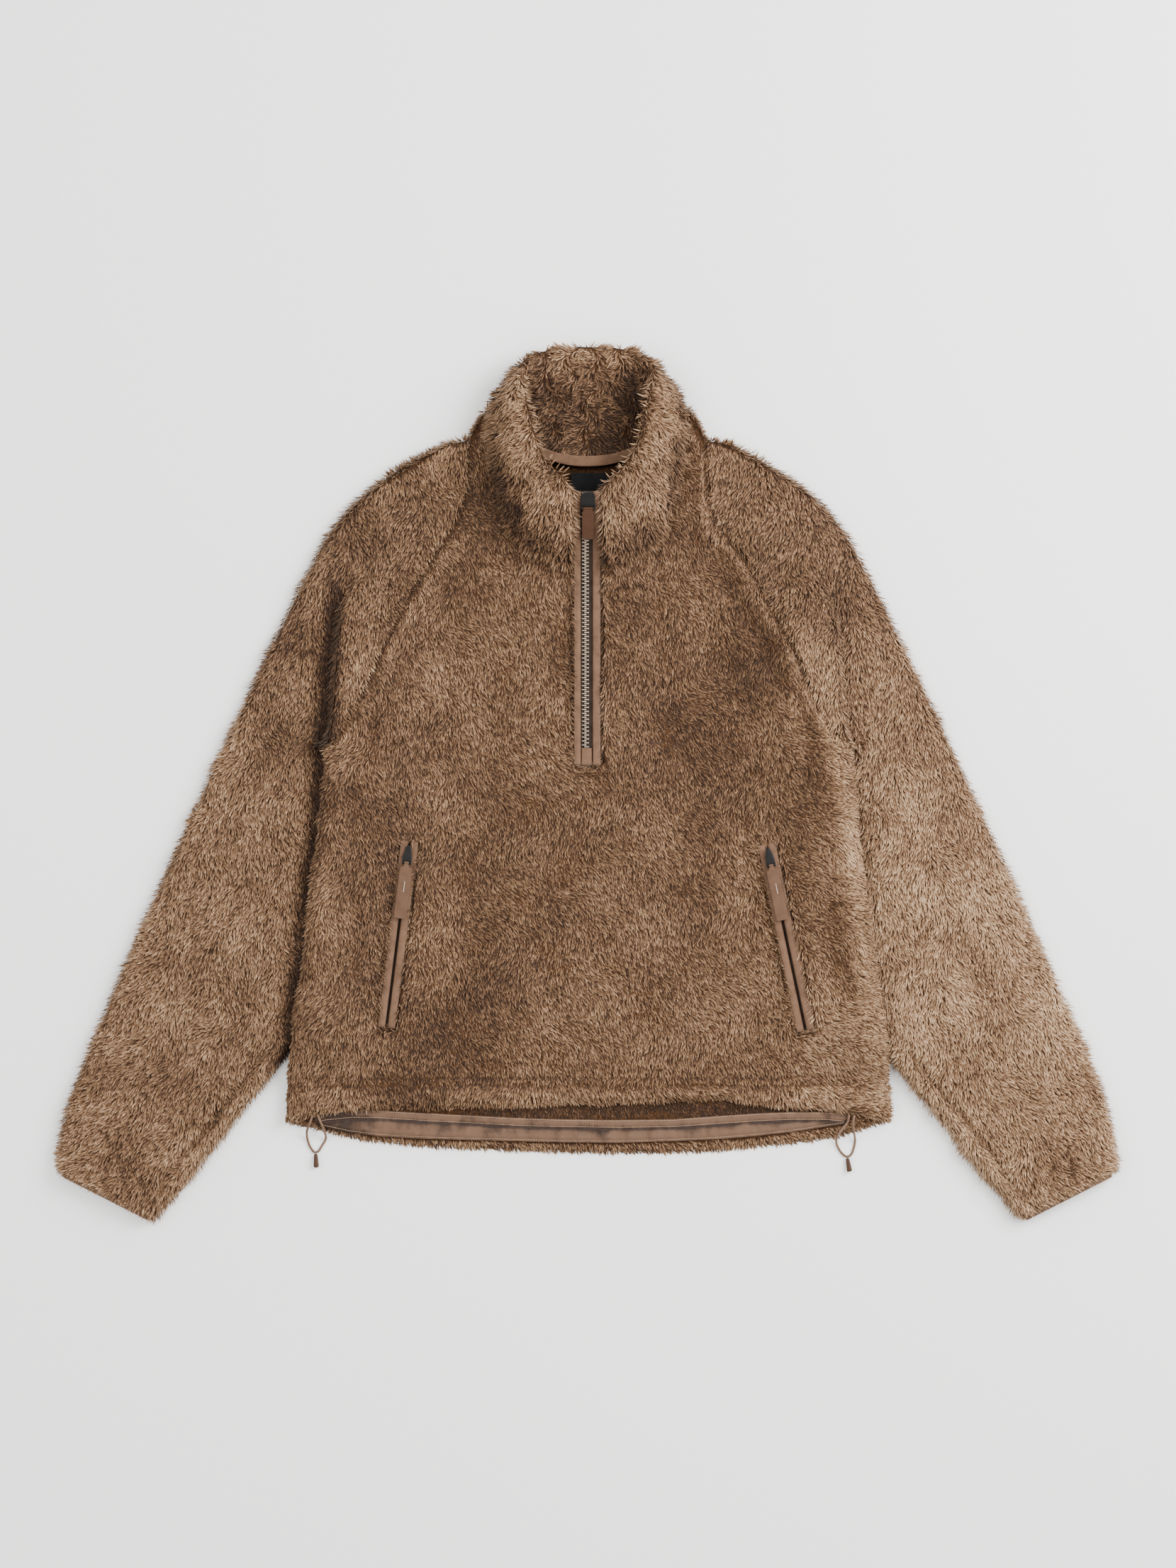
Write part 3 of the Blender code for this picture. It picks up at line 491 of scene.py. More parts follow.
def fur_material():
    made, tree, shader = new_material("brown_fleece_tufts")
    light = arithmetic(tree, "MULTIPLY", attribute(tree, "along"), 0.7)
    for name in ("tone", "shade"):
        light = arithmetic(tree, "ADD", light, attribute(tree, name))
    for size, detail, strength in FLEECE_NOISES:
        noise = object_noise(tree, size, detail)
        spread = arithmetic(tree, "MULTIPLY_ADD", noise, strength, -strength / 2)
        light = arithmetic(tree, "ADD", light, spread)
    feed(tree, shader, {
        "Base Color": colour_ramp(tree, light, FLEECE_STOPS), "Roughness": 0.75,
        "Specular IOR Level": 0.25, "Sheen Weight": 0.2, "Sheen Roughness": 0.45,
        "Sheen Tint": (0.85, 0.65, 0.5, 1),
    })
    return made


def skin_material():
    made, tree, shader = new_material("brown_fleece_ground")
    loops = object_noise(tree, 0.0022, 4, 0.7)
    # The fleece's brown, darkened by painted shade deep in the pile.
    stops = ((0.3, (0.012, 0.005, 0.002)), (0.62, (0.085, 0.040, 0.018)))
    feed(tree, shader, {
        "Base Color": colour_ramp(tree, loops, stops), "Roughness": 0.9, "Specular IOR Level": 0.1,
        "Normal": bumped(tree, loops, 0.0016),
    })
    return made


fleece_tufts = fur_material()
fleece_ground = skin_material()

# %% [markdown]
# ## One tuft
# A tuft is a lock of fibres that is broad near its root, bends over and ends in a point. Seen
# close it is a leaf folded along its middle, so that light picks out one side of it. Four
# points and two triangles are enough, because there are many thousands of them.

# %% A tuft of fleece
TUFT_LENGTH = 5.8 * MM
TUFT_WIDTH = 1.45 * MM
FLOOR_GAP = 0.1 * MM
BROADEST = 0.42


patterns = []


def pattern(name, mesh):
    """An object that is only copied from; it is hidden, and removed at the end."""
    made = mesh_object(name, mesh)
    made.hide_render = True
    patterns.append(made)
    return made


def make_tuft(length, width, bend):
    """A folded leaf: root, left edge, right edge and tip."""
    back = -bend * length * BROADEST - width * 0.35
    points = [
        (0, 0, 0), (-width / 2, back, length * BROADEST), (width / 2, back, length * BROADEST),
        (0, -bend * length, length),
    ]
    mesh = bpy.data.meshes.new("tuft")
    mesh.from_pydata(points, [], [(0, 1, 3), (0, 3, 2)])
    store(mesh, "along", [point[2] / length for point in points])
    mesh.shade_smooth()
    return pattern("tuft", mesh)


tuft = make_tuft(TUFT_LENGTH, TUFT_WIDTH, 0.28)
print("a tuft has", len(tuft.data.polygons), "triangles")

# %% [markdown]
# ## Trees that copy a pattern
# Two Geometry Nodes trees do the repeating work: one plants tufts over a skin, the other sets
# teeth or stitches along a line. Both get a pattern and a material through named inputs, turn
# each copy two ways, and end as one real mesh.

# %% What both trees share
def new_group(name, **inputs):
    """A tree with these inputs, between a geometry and a material, and the sockets they give."""
    tree = bpy.data.node_groups.new(name, "GeometryNodeTree")
    for key, kind in (("Geometry", "Geometry"), *inputs.items(), ("Material", "Material")):
        tree.interface.new_socket(key, in_out="INPUT", socket_type="NodeSocket" + kind)
    tree.interface.new_socket("Geometry", in_out="OUTPUT", socket_type="NodeSocketGeometry")
    return tree, tree.nodes.new("NodeGroupInput").outputs


def read(tree, name, kind):
    """A named attribute of the geometry."""
    node = add_node(tree, "GeometryNodeInputNamedAttribute", {"Name": name}, data_type=kind)
    return node.outputs["Attribute"]


def stand_and_face(tree, up, ahead):
    """The rotation that stands a copy's Z along up and turns its Y towards ahead."""
    align = "FunctionNodeAlignRotationToVector"
    stand = add_node(tree, align, {"Vector": up}, axis="Z").outputs[0]
    inputs = {"Rotation": stand, "Vector": ahead}
    return add_node(tree, align, inputs, axis="Y", pivot_axis="Z").outputs[0]


def copies(tree, piece, points, turn, size=(1, 1, 1)):
    chosen = add_node(tree, "GeometryNodeObjectInfo", {"Object": piece}).outputs["Geometry"]
    inputs = {"Points": points, "Instance": chosen, "Rotation": turn, "Scale": size}
    return add_node(tree, "GeometryNodeInstanceOnPoints", inputs).outputs[0]


def close_group(tree, given, instances):
    """Ends a tree: the copies are made real and get the material."""
    real = add_node(tree, "GeometryNodeRealizeInstances", {"Geometry": instances}).outputs[0]
    inputs = {"Geometry": real, "Material": given["Material"]}
    finish = add_node(tree, "GeometryNodeSetMaterial", inputs)
    add_node(tree, "NodeGroupOutput", {0: finish.outputs[0]})
    return tree


def socket_of(tree, name):
    items = tree.interface.items_tree
    return next(i.identifier for i in items if i.item_type == "SOCKET" and i.name == name)


def grown(bed, name, tree, **values):
    """What a tree makes on bed, as a plain mesh; bed is used up."""
    growth = bed.modifiers.new("growth", "NODES")
    growth.node_group = tree
    for key, value in values.items():
        growth[socket_of(tree, key)] = value
    return applied(bed, name)


# %% [markdown]
# ## Planting the tufts
# The planting tree scatters points over the skin, no two closer than a set distance, and stands
# a tuft on each. The skin carries the way the nap lies, how tall the fur is and its painted light
# and shade.
# A tuft leans along the nap and a little at random, and its folded side faces outwards.

# %% The planting tree
DENSEST = 3e6  # Points to the square metre before those too close together are dropped.


def planting_tree():
    tree, given = new_group(
        "plant_tufts", Tuft="Object", Spacing="Float", Rise="Float", Stray="Float", Seed="Int",
    )

    def vector(operation, first, second):
        inputs = {0: first, "Scale" if operation == "SCALE" else 1: second}
        return add_node(tree, "ShaderNodeVectorMath", inputs, operation=operation).outputs["Vector"]

    def between(kind, low, high, seed):
        inputs = {0: given["Seed"], 1: seed}
        own_seed = add_node(tree, "FunctionNodeIntegerMath", inputs, operation="ADD").outputs[0]
        number = add_node(tree, "GeometryNodeInputIndex").outputs[0]
        inputs = {"Seed": own_seed, "ID": number}
        node = add_node(tree, "FunctionNodeRandomValue", inputs, data_type=kind)
        for socket, limit in zip((s for s in node.inputs if s.enabled), (low, high)):
            socket.default_value = limit
        return next(s for s in node.outputs if s.enabled)

    inputs = {
        "Mesh": given["Geometry"], "Distance Min": given["Spacing"], "Density Max": DENSEST,
        "Seed": given["Seed"],
    }
    scatter = add_node(
        tree, "GeometryNodeDistributePointsOnFaces", inputs, distribute_method="POISSON",
    ).outputs
    upright = vector("SCALE", scatter["Normal"], given["Rise"])
    lean = vector("ADD", upright, read(tree, "nap", "FLOAT_VECTOR"))
    chance = between("FLOAT_VECTOR", (-1, -1, -1), (1, 1, 1), 11)
    lean = vector("ADD", lean, vector("SCALE", chance, given["Stray"]))
    turn = stand_and_face(tree, lean, scatter["Normal"])

    wide = between("FLOAT", 0.75, 1.25, 23)
    chance = between("FLOAT", 0.7, 1.25, 37)
    tall = arithmetic(tree, "MULTIPLY", chance, read(tree, "tall", "FLOAT"))
    size = add_node(tree, "ShaderNodeCombineXYZ", {"X": wide, "Y": wide, "Z": tall}).outputs[0]
    tufts = copies(tree, given["Tuft"], scatter["Points"], turn, size)
    inputs = {"Geometry": tufts, "Name": "tone", "Value": between("FLOAT", -0.22, 0.20, 53)}
    toned = add_node(
        tree, "GeometryNodeStoreNamedAttribute", inputs, data_type="FLOAT", domain="INSTANCE",
    )
    return close_group(tree, given, toned.outputs[0])


tuft_tree = planting_tree()


def plant_tufts(name, bed, spacing, rise, stray, seed):
    """Tufts on bed, which is used up; bed carries the attributes nap, tall and shade."""
    made = grown(
        bed, name, tuft_tree, Tuft=tuft, Spacing=spacing, Rise=rise, Stray=stray, Seed=seed,
        Material=fleece_tufts,
    )
    places, _ = vertex_arrays(made.data)
    places[:, 2] = np.maximum(places[:, 2], FLOOR_GAP)
    set_places(made.data, places)
    triangles = len(made.data.polygons)
    print(name, "has", triangles, "triangles,", triangles // 2, "tufts")
    return made


# %% [markdown]
# ## The nap
# Brushed fleece lies one way, but hands and wear ruffle it. The nap runs down the body and along
# the sleeves, wanders in soft swirls, and parts at the seams. Its way, its height and its painted
# light and shade are set on the bed before the tufts are planted.

# %% Nap, height and shade over the garment
# Place across the garment in millimetres, and the nap's turn from straight down in radians.
BODY_TURN = (
    (-240, -0.2), (-190, -0.05), (-60, 0.45), (60, 0.4), (150, 0.5), (205, 0.9), (245, 1.3),
)
SLEEVE_TURN = ((230, -0.25), (300, 0.15), (380, 0.6), (470, 1.0))


def turned(turn):
    """Directions in the plan, turned from straight down towards the right."""
    return np.stack([np.sin(turn), -np.cos(turn)], axis=1)


def body_nap(plan):
    turn = np.interp(plan[:, 0], *zip(*BODY_TURN))
    return turned(turn + 0.42 * waves(plan, 70, 5) + 0.28 * waves(plan, 24, 6))


def sleeve_nap(plan):
    x, y = plan[:, 0], plan[:, 1]
    across = np.abs(x) + 0.45 * np.maximum(y, 0)
    turn = np.sign(x) * np.interp(across, *zip(*SLEEVE_TURN))
    return turned(turn + 0.38 * waves(plan, 60, 8) + 0.25 * waves(plan, 22, 9))


def parted(plan, nap, lines, width=7.0, push=1.4):
    """Turns the nap away from each seam close beside it."""
    for line in lines:
        points = np.array(line, float)
        distance, share, side = along_line(plan, points)
        near = push * bell(distance, width) * fade(share, 0.05)
        ahead = directions(points)
        place = share * (len(points) - 1)
        k = np.clip(place.astype(int), 0, len(points) - 2)
        way = ahead[k] + (place - k)[:, None] * (ahead[k + 1] - ahead[k])
        nap = nap + near[:, None] * (left_of(way) * side[:, None])
    return unit(nap, 0.2)


# %% Growing the fur of a piece
# Where the cloth turns down at the garment's edge, tufts lean out, stand taller and get painted
# light.
EDGE_LEAN, EDGE_TALLER, EDGE_PAINTED_LIGHT = 0.9, 0.35, 0.2
# Painted shade in the troughs of creases and painted light on their ridges.
SUNK_SHADE = 0.045  # Change of tone for each millimetre that a crease rises.

skins, fur = {}, {}


def furred(name, node, creases, keep, looks, planting, depth=FUR_DEPTH):
    """Tufts on the part of a node's skin that keep chooses by each face's middle and normal.

    looks are the functions that give nap, height and shade, and planting is the least distance
    between tufts, how far they rise from the cloth, how far they stray and the seed.
    """
    nap, tall, shade = looks
    bed = laid_skin(name + "_bed", node, BED_LEVELS, creases, depth)
    bm = bmesh.new()
    bm.from_mesh(bed.data)
    middles = np.array([face.calc_center_median() for face in bm.faces]) / MM
    kept = keep(middles, np.array([face.normal for face in bm.faces]))
    bare = [face for face, stays in zip(list(bm.faces), kept) if not stays]
    bmesh.ops.delete(bm, geom=bare, context="FACES")
    bm.to_mesh(bed.data)
    bm.free()
    places, normals = vertex_arrays(bed.data)
    points = places / MM
    plan = points[:, :2]
    edge = smooth_step((0.6 - normals[:, 2]) / 0.6)
    flat = nap(plan) + EDGE_LEAN * edge[:, None] * normals[:, :2]
    way = np.column_stack([flat, np.zeros(len(plan))])
    into_cloth = np.minimum((way * normals).sum(axis=1), 0)
    store(bed.data, "nap", way - into_cloth[:, None] * normals, "FLOAT_VECTOR")
    store(bed.data, "tall", tall(points) * (1 + EDGE_TALLER * edge))
    sunk = SUNK_SHADE * crease_height(plan, creases)
    store(bed.data, "shade", shade(points) + sunk + EDGE_PAINTED_LIGHT * edge)
    return plant_tufts(name, bed, *planting)


# %% [markdown]
# ## The front
# The front is one panel, open down the middle for the half zip and at the two pocket slits. It
# lies over the sleeves at its sides. The raglan seams are parted lines in the fur, the hem is
# stitched twice, and the tufts there are held down.

# %% The front
POCKETS = {"left": ((-155.3, -49.9), (-175.8, -213.0)), "right": ((156.6, -52.4), (190.7, -215.4))}
PLACKET_SIDES = (-12.1, 11.7)
SIDES = (("left", -1), ("right", 1))


def slit(line):
    """A slit's upper and lower ends, the way down it and the way across it."""
    top, bottom = np.array(line, float)
    down = (bottom - top) / np.linalg.norm(bottom - top)
    return top, bottom, down, np.array([-down[1], down[0]])


def end_line(line, beyond, half):
    """A short line across the lower end of a slit."""
    _, bottom, down, across = slit(line)
    middle = bottom + beyond * down
    return tuple(middle - half * across), tuple(middle + half * across)


TRIM_EDGES = [((x, 14), (x, 200)) for x in PLACKET_SIDES]
TRIM_EDGES += [shifted(line, across) for line in POCKETS.values() for across in (-8.5, 8.5)]
TRIM_EDGES += [end_line(line, 0.5, 9.0) for line in POCKETS.values()]
TRIM_EDGES += [((-13, 12.5), (13, 12.5))]


def on_top(normals):
    """True for all but the faces turned well down."""
    return normals[:, 2] > -0.45


def fold_at(y):
    """How far out the body's folded side lies, for each height up the garment."""
    return np.interp(-y, *zip(*[(-fold_y, fold_x) for fold_x, fold_y in FOLD]))


def front_tall(points):
    plan = points[:, :2]
    tall = 1 + 0.12 * waves(plan, 40, 12)
    for y in HEM_STITCHES:
        tall -= 0.4 * bell(points[:, 1] - y, 2.2)
    for line in RAGLANS:
        tall -= trough(plan, line, 4, 0.35)
    return np.clip(tall, 0.3, 1.5)


# Patches of painted light and shade on the front.
FRONT_PATCHES = (
    # x, y, reach, amount
    (-85, 250, 38, -0.20), (60, 238, 18, 0.12), (30, 165, 26, -0.12), (110, 70, 68, -0.11),
    (110, -10, 40, -0.12), (-205, -30, 62, -0.14), (-120, -222, 36, -0.20), (-70, -185, 34, -0.10),
    (95, -165, 40, 0.08), (206, -225, 44, 0.20), (250, -270, 20, 0.12), (-150, 110, 30, 0.08),
    (-95, 60, 26, 0.08), (222, 60, 24, 0.20), (222, -80, 26, 0.14), (182, 75, 20, 0.14),
    (-40, 85, 26, 0.13), (175, -165, 34, 0.14), (224, -30, 30, 0.14), (182, -205, 30, 0.12),
    (-15, -205, 44, 0.14), (-165, -290, 34, -0.34), (140, 60, 20, 0.10), (145, -50, 22, 0.12),
)


def front_shade(points):
    plan = points[:, :2]
    x, y = plan.T
    # Painted light and shade: patches for the light across the front and the collar's shadow, a
    # painted highlight along the right fold, painted light on the rolled hem, and painted shade in
    # the hem's stitch lines and the raglan seams.
    shade = 0.05 * waves(plan, 90, 14) + patches(plan, FRONT_PATCHES) - 0.03
    inside = fold_at(y) - x  # Only the fold on the right catches the light.
    shade += 0.18 * bell(inside - 9, 10) * smooth_step((200 - y) / 40)
    shade += 0.10 * smooth_step((-262 - y) / 6)
    for y_stitch in HEM_STITCHES:
        shade -= 0.06 * bell(y - y_stitch, 1.8)
    for line in RAGLANS:
        shade -= trough(plan, line, 3, 0.12)
    return shade


def front_nap(plan):
    nap = parted(plan, body_nap(plan), RAGLANS)
    return parted(plan, nap, TRIM_EDGES, 6.0, -1.1)


front_creases = list(BODY_CREASES)
for y in HEM_STITCHES:
    front_creases.append(([(x, y) for x in (-250, -120, 0, 120, 250)], 1.9, -1.0))
skins["front"] = laid_skin("front_cloth", "front", SKIN_LEVELS, front_creases)
fur["front"] = [
    furred(
        "front_fur_" + side, "front", front_creases,
        lambda points, normals, sign=sign: on_top(normals) & (sign * points[:, 0] >= 0),
        (front_nap, front_tall, front_shade), (1.03 * MM, 0.55, 0.34, 100 + sign),
    )
    for side, sign in SIDES
]


# %% [markdown]
# ## The back
# From above only a strip of the back shows: below the front's hem its brushed outside turns up
# as a soft fringe of fleece. From behind, its furred edge beside the neck shows too.

# %% The back
# x, then the upper and the lower edge of the satin facing inside the back's hem.
HEM_FACING = (
    (-239, -291.5, -296), (-231, -288, -300.6), (-207, -285.6, -305.6), (-182, -286, -308.6),
    (-150, -288, -310.6), (-110, -290, -311.8), (-62, -292.6, -313), (-20, -293.8, -314),
    (26, -294.4, -314.4), (75, -293.8, -313), (120, -290.6, -310.8), (150, -288.6, -308.2),
    (180, -287.4, -304.8), (208, -287.4, -300.4), (229, -289.4, -297.8),
)


def facing_edges(x):
    at, high, low = np.array(HEM_FACING, float).T
    return np.interp(x, at, high), np.interp(x, at, low)


def under_facing(points):
    """True where the hem facing lies on the back."""
    x, y = points[:, 0], points[:, 1]
    high, low = facing_edges(x)
    return (x > -238) & (x < 228) & (y > low + 0.6) & (y < high - 0.6)


def back_shade(points):
    high, _ = facing_edges(points[:, 0])
    # Painted shade on the back's fur above the facing, under the front's hem.
    inside = smooth_step((points[:, 1] - high + 2) / 4) * (points[:, 1] < 0)
    return 0.05 - 0.42 * inside + 0.04 * waves(points[:, :2], 60, 21)


def back_bare(points, normals):
    """True where the front, the collar or the facing covers the back."""
    x, y, z = np.abs(points[:, 0]), points[:, 1], points[:, 2]
    neck_edge = (y > 240) & (x > 58) & (normals[:, 2] < 0.6) & (z > 1.2)
    return ~((y < -276) | neck_edge) | under_facing(points)


NECK_ALLOWANCE = 5 * MM  # It lies under the neck tape.

skins["back"] = laid_skin("back_cloth", "back", SKIN_LEVELS, [])
places, _ = vertex_arrays(skins["back"].data)
x, y, _ = places.T / MM
places[:, 1] += NECK_ALLOWANCE * (smooth_step((y - 262) / 6) * smooth_step((66 - np.abs(x)) / 8))
set_places(skins["back"].data, places)
fur["back"] = [furred(
    "back_fur", "back", [], lambda points, normals: on_top(normals) & ~back_bare(points, normals),
    (body_nap, lambda points: np.full(len(points), 0.8), back_shade), (1.1 * MM, 0.5, 0.4, 7),
)]


# %% [markdown]
# ## The sleeves
# Each sleeve is a tube from the neck to the cuff, pressed flat. The body's folded side lies over
# its inner edge from the underarm down, so no tufts are planted there. The underarm seam makes a
# groove along the edge that shows.

# %% The sleeves
def past_fold(points):
    """How far a point lies outside the body's folded side edge, in millimetres."""
    return np.abs(points[:, 0]) - fold_at(points[:, 1])


def under_body(points):
    """True where the body hides the sleeve."""
    return (points[:, 1] < 30) & (points[:, 1] > -285) & (past_fold(points) < -7)


def sleeve_tall(points):
    return 1 + 0.12 * waves(points[:, :2], 36, 31)


# Patches of painted light and shade on the sleeves.
SLEEVE_PATCHES = (
    # x, y, reach, amount
    (-256, 45, 42, -0.16), (-200, 203, 34, -0.14), (-300, -220, 26, -0.12), (-400, -326, 30, -0.22),
    (-425, -250, 25, -0.12), (310, 45, 55, -0.15), (165, 205, 30, -0.12), (415, -326, 30, -0.22),
    (-260, -45, 26, -0.12), (-262, -205, 26, 0.12), (-308, 45, 26, 0.12),
)


def sleeve_shade(points):
    x, y = points[:, 0], points[:, 1]
    # Painted light on the sleeves, stronger on the right, and a painted shadow of the body's folded
    # side beside it, deepest on the left.
    lit = np.where(x > 0, 0.26, 0.12) * smooth_step((170 - y) / 120)
    painted_fold_shadow = np.where(x > 0, 0.10, 0.62) * bell(past_fold(points) - 2, 9)
    painted_fold_shadow *= smooth_step((205 - y) / 50)
    uneven = 0.05 * waves(points[:, :2], 80, 33)
    return lit - painted_fold_shadow + uneven + patches(points[:, :2], SLEEVE_PATCHES)


SLEEVE_CLOTH_DEPTH = FUR_DEPTH + 1 * MM

for side, sign in SIDES:
    node = "sleeve_" + side
    creases = [
        (mirrored(line) if sign < 0 else line, width, rise) for line, width, rise in SLEEVE_CREASES
    ]
    skins[node] = laid_skin(node + "_cloth", node, SKIN_LEVELS, creases, SLEEVE_CLOTH_DEPTH)
    fur[node] = [furred(
        node + "_fur", node, creases,
        lambda points, normals: on_top(normals) & (points[:, 2] > 2.5) & ~under_body(points),
        (sleeve_nap, sleeve_tall, sleeve_shade), (1.12 * MM, 0.55, 0.34, 200 + sign),
    )]


# %% [markdown]
# ## The stand collar
# The collar is cut double and stands up when worn. Laid flat it falls open into a soft oval: a
# pale rim of painted light where the fleece turns over, and a hollow of painted shade behind it.
# Its fur is the longest, and it isn't drawn in as far as its cloth is.

# %% The collar
COLLAR_MIDDLE = (0, 292)
COLLAR_CLOTH_DEPTH, COLLAR_FUR_DEPTH = 2.8 * MM, 1.8 * MM
# x, y, reach, amount: patches of painted light and shade in the hollow only, and patches
# everywhere.
COLLAR_HOLLOW = (
    (-33, 335, 22, -0.18), (34, 340, 18, -0.20), (-8, 340, 18, 0.06), (15, 305, 18, -0.12),
)
COLLAR_RIM = (
    (-60, 340, 16, 0.10), (98, 305, 20, 0.26), (-100, 305, 14, 0.12), (0, 372, 30, 0.20),
    (-66, 262, 18, -0.20), (-60, 235, 14, -0.16), (20, 305, 14, -0.14), (62, 238, 14, 0.16),
)


def collar_shade(points):
    plan = points[:, :2]
    # Painted light on the raised rim, painted shade in the hollow below it, and painted light along
    # the hollow's top at the back.
    rim = smooth_step((points[:, 2] - 24) / 16)
    shade = -0.17 + 0.30 * rim + 0.07 * waves(plan, 30, 41)
    shade += patches(plan, COLLAR_HOLLOW) * (1 - rim) + patches(plan, COLLAR_RIM)
    return shade + 0.2 * smooth_step((plan[:, 1] - 362) / 10) * (1 - rim)


def collar_nap(plan):
    out = unit(plan - COLLAR_MIDDLE, 5)
    return unit(0.8 * out + turned(0.8 * waves(plan, 26, 44)), 0.2)


def under_neck_tape(points):
    """True where the neck tape lies on the collar."""
    x, y = points[:, 0], points[:, 1]
    return (points[:, 2] < 18) & (np.abs(x) < 56) & (y > 272) & (y < 289 + 15 * (x / 54) ** 2)


def collar_shows(points, normals, sign):
    """True on the side of a collar's wall that faces out (sign 1) or in (-1), and on its rims."""
    out = unit(points[:, :2] - COLLAR_MIDDLE)
    this_side = sign * (normals[:, :2] * out).sum(axis=1) > -0.25
    upright = (normals[:, 2] > -0.85) & (this_side | (normals[:, 2] > -0.4))
    return upright & ~under_neck_tape(points)


for node, sign in (("collar_outer", 1), ("collar_inner", -1)):
    skins[node] = laid_skin(node + "_cloth", node, SKIN_LEVELS, [], COLLAR_CLOTH_DEPTH)
    fur[node] = [furred(
        node + "_fur", node, [],
        lambda points, normals, sign=sign: collar_shows(points, normals, sign),
        (collar_nap, lambda points: 1.15 + 0.2 * waves(points[:, :2], 20, 43), collar_shade),
        (1.15 * MM, 0.5, 0.45, 300 + sign), COLLAR_FUR_DEPTH,
    )]

# %% [markdown]
# ## Woven cloth and metal
# The placket, pocket welts, cuff bindings and hem facing are a smooth taupe weave. Fine crossing
# waves of threads give it its grain, and a broad noise its slight unevenness. The sliders are
# blackened metal, the neck pull a glossy moulded brown, and the teeth a grey-beige plastic.

# %% Weave, metal and plastic
WAVE_UNIT = 0.314  # Size of one band of a wave texture at scale 1, in metres.


def threads(tree, across, size):
    """A wave of threads, size metres apart, along one axis of the piece's own coordinates."""
    place = add_node(tree, "ShaderNodeTexCoord").outputs["Object"]
    inputs = {"Vector": place, "Scale": WAVE_UNIT / size, "Distortion": 1.5, "Detail": 1.0}
    inputs["Detail Scale"] = 4.0
    return add_node(tree, "ShaderNodeTexWave", inputs, bands_direction=across).outputs["Fac"]


def woven_material(name, dark, light, sheen, roughness, thread=0.45 * MM, creases=0.0):
    made, tree, shader = new_material(name)
    weave = arithmetic(tree, "MAXIMUM", *(threads(tree, across, thread) for across in "XY"))
    uneven = object_noise(tree, 0.012, 4, 0.65)
    mixed = arithmetic(tree, "MULTIPLY_ADD", weave, 0.3, uneven)
    # Painted light and shade, where a piece carries a shade attribute, as the hem facing does.
    mixed = arithmetic(tree, "ADD", mixed, attribute(tree, "shade"))
    level = object_noise(tree, creases, 5, 0.6) if creases else 0.5
    feed(tree, shader, {
        "Base Color": colour_ramp(tree, mixed, ((0.42, dark), (0.82, light))),
        "Roughness": roughness, "Specular IOR Level": 0.22, "Sheen Weight": sheen,
        "Sheen Roughness": 0.4,
        "Normal": bumped(tree, arithmetic(tree, "MULTIPLY_ADD", weave, 0.12, level), 0.9 * MM),
    })
    return made


def hard_material(name, colour, roughness, wear, coat=0.0):
    made, tree, shader = new_material(name)
    scuffs = object_noise(tree, 0.0035, 6, 0.7)
    dark = tuple(c * 0.8 for c in colour)
    worn = tuple(min(c * 1.15 + wear * 0.2, 1) for c in colour)
    feed(tree, shader, {
        "Base Color": colour_ramp(tree, scuffs, ((0.35, dark), (0.7, worn))),
        "Roughness": arithmetic(tree, "MULTIPLY_ADD", scuffs, wear * 3, roughness),
        "Specular IOR Level": 0.2, "Coat Weight": coat, "Coat Roughness": 0.12,
        "Normal": bumped(tree, object_noise(tree, 0.0016, 3), 0.05 * MM),
    })
    return made


taupe_weave = woven_material(
    "taupe_weave", (0.072, 0.035, 0.019), (0.150, 0.082, 0.047), 0.03, 0.72,
)
pull_weave = woven_material(
    "pull_tab_weave", (0.070, 0.034, 0.018), (0.112, 0.060, 0.034), 0.03, 0.74,
)
satin_facing = woven_material(
    "satin_facing", (0.022, 0.010, 0.005), (0.125, 0.068, 0.039), 0.05, 0.36, 0.4 * MM, 0.006,
)
dark_tape = woven_material("zip_tape_weave", (0.012, 0.008, 0.006), (0.05, 0.032, 0.022), 0.0, 0.85)
label_weave = woven_material("label_weave", (0.002, 0.002, 0.0025), (0.008, 0.008, 0.010), 0.0, 0.8)
cord_weave = woven_material(
    "cord_braid", (0.080, 0.042, 0.024), (0.180, 0.104, 0.062), 0.1, 0.6, 0.35 * MM,
)
thread_colour = woven_material(
    "sewing_thread", (0.115, 0.062, 0.036), (0.215, 0.130, 0.084), 0.1, 0.55, 0.2 * MM,
)
facing_thread = woven_material(
    "facing_thread", (0.20, 0.115, 0.066), (0.42, 0.27, 0.17), 0.1, 0.5, 0.2 * MM,
)
bar_tack_thread = woven_material(
    "bar_tack_thread", (0.34, 0.26, 0.20), (0.46, 0.37, 0.30), 0.2, 0.5, 0.2 * MM,
)
black_metal = hard_material("blackened_metal", (0.004, 0.0035, 0.003), 0.5, 0.01)
gloss_brown = hard_material("glossy_brown_tab", (0.046, 0.017, 0.006), 0.45, 0.0, 0.1)
tooth_plastic = hard_material("tooth_plastic", (0.36, 0.29, 0.22), 0.3, 0.06)


def dress(piece, look, *replaced, slot, body="garment"):
    """Gives a piece its material, its body and the nodes that it stands for; its slot is not used.
    """
    if look:
        piece.data.materials.clear()
        piece.data.materials.append(look)
    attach(piece, body)
    if replaced:
        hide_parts(*replaced)
    return piece


# %% [markdown]
# ## Soft strips
# A woven strip is a folded cloth, so its long edges are round and its face is a little full. A
# strip is made from a line of points with an up direction at each: a low arch is swept along
# it, and Subdivision rounds it. The same helper makes the placket, the welts and the end tab.

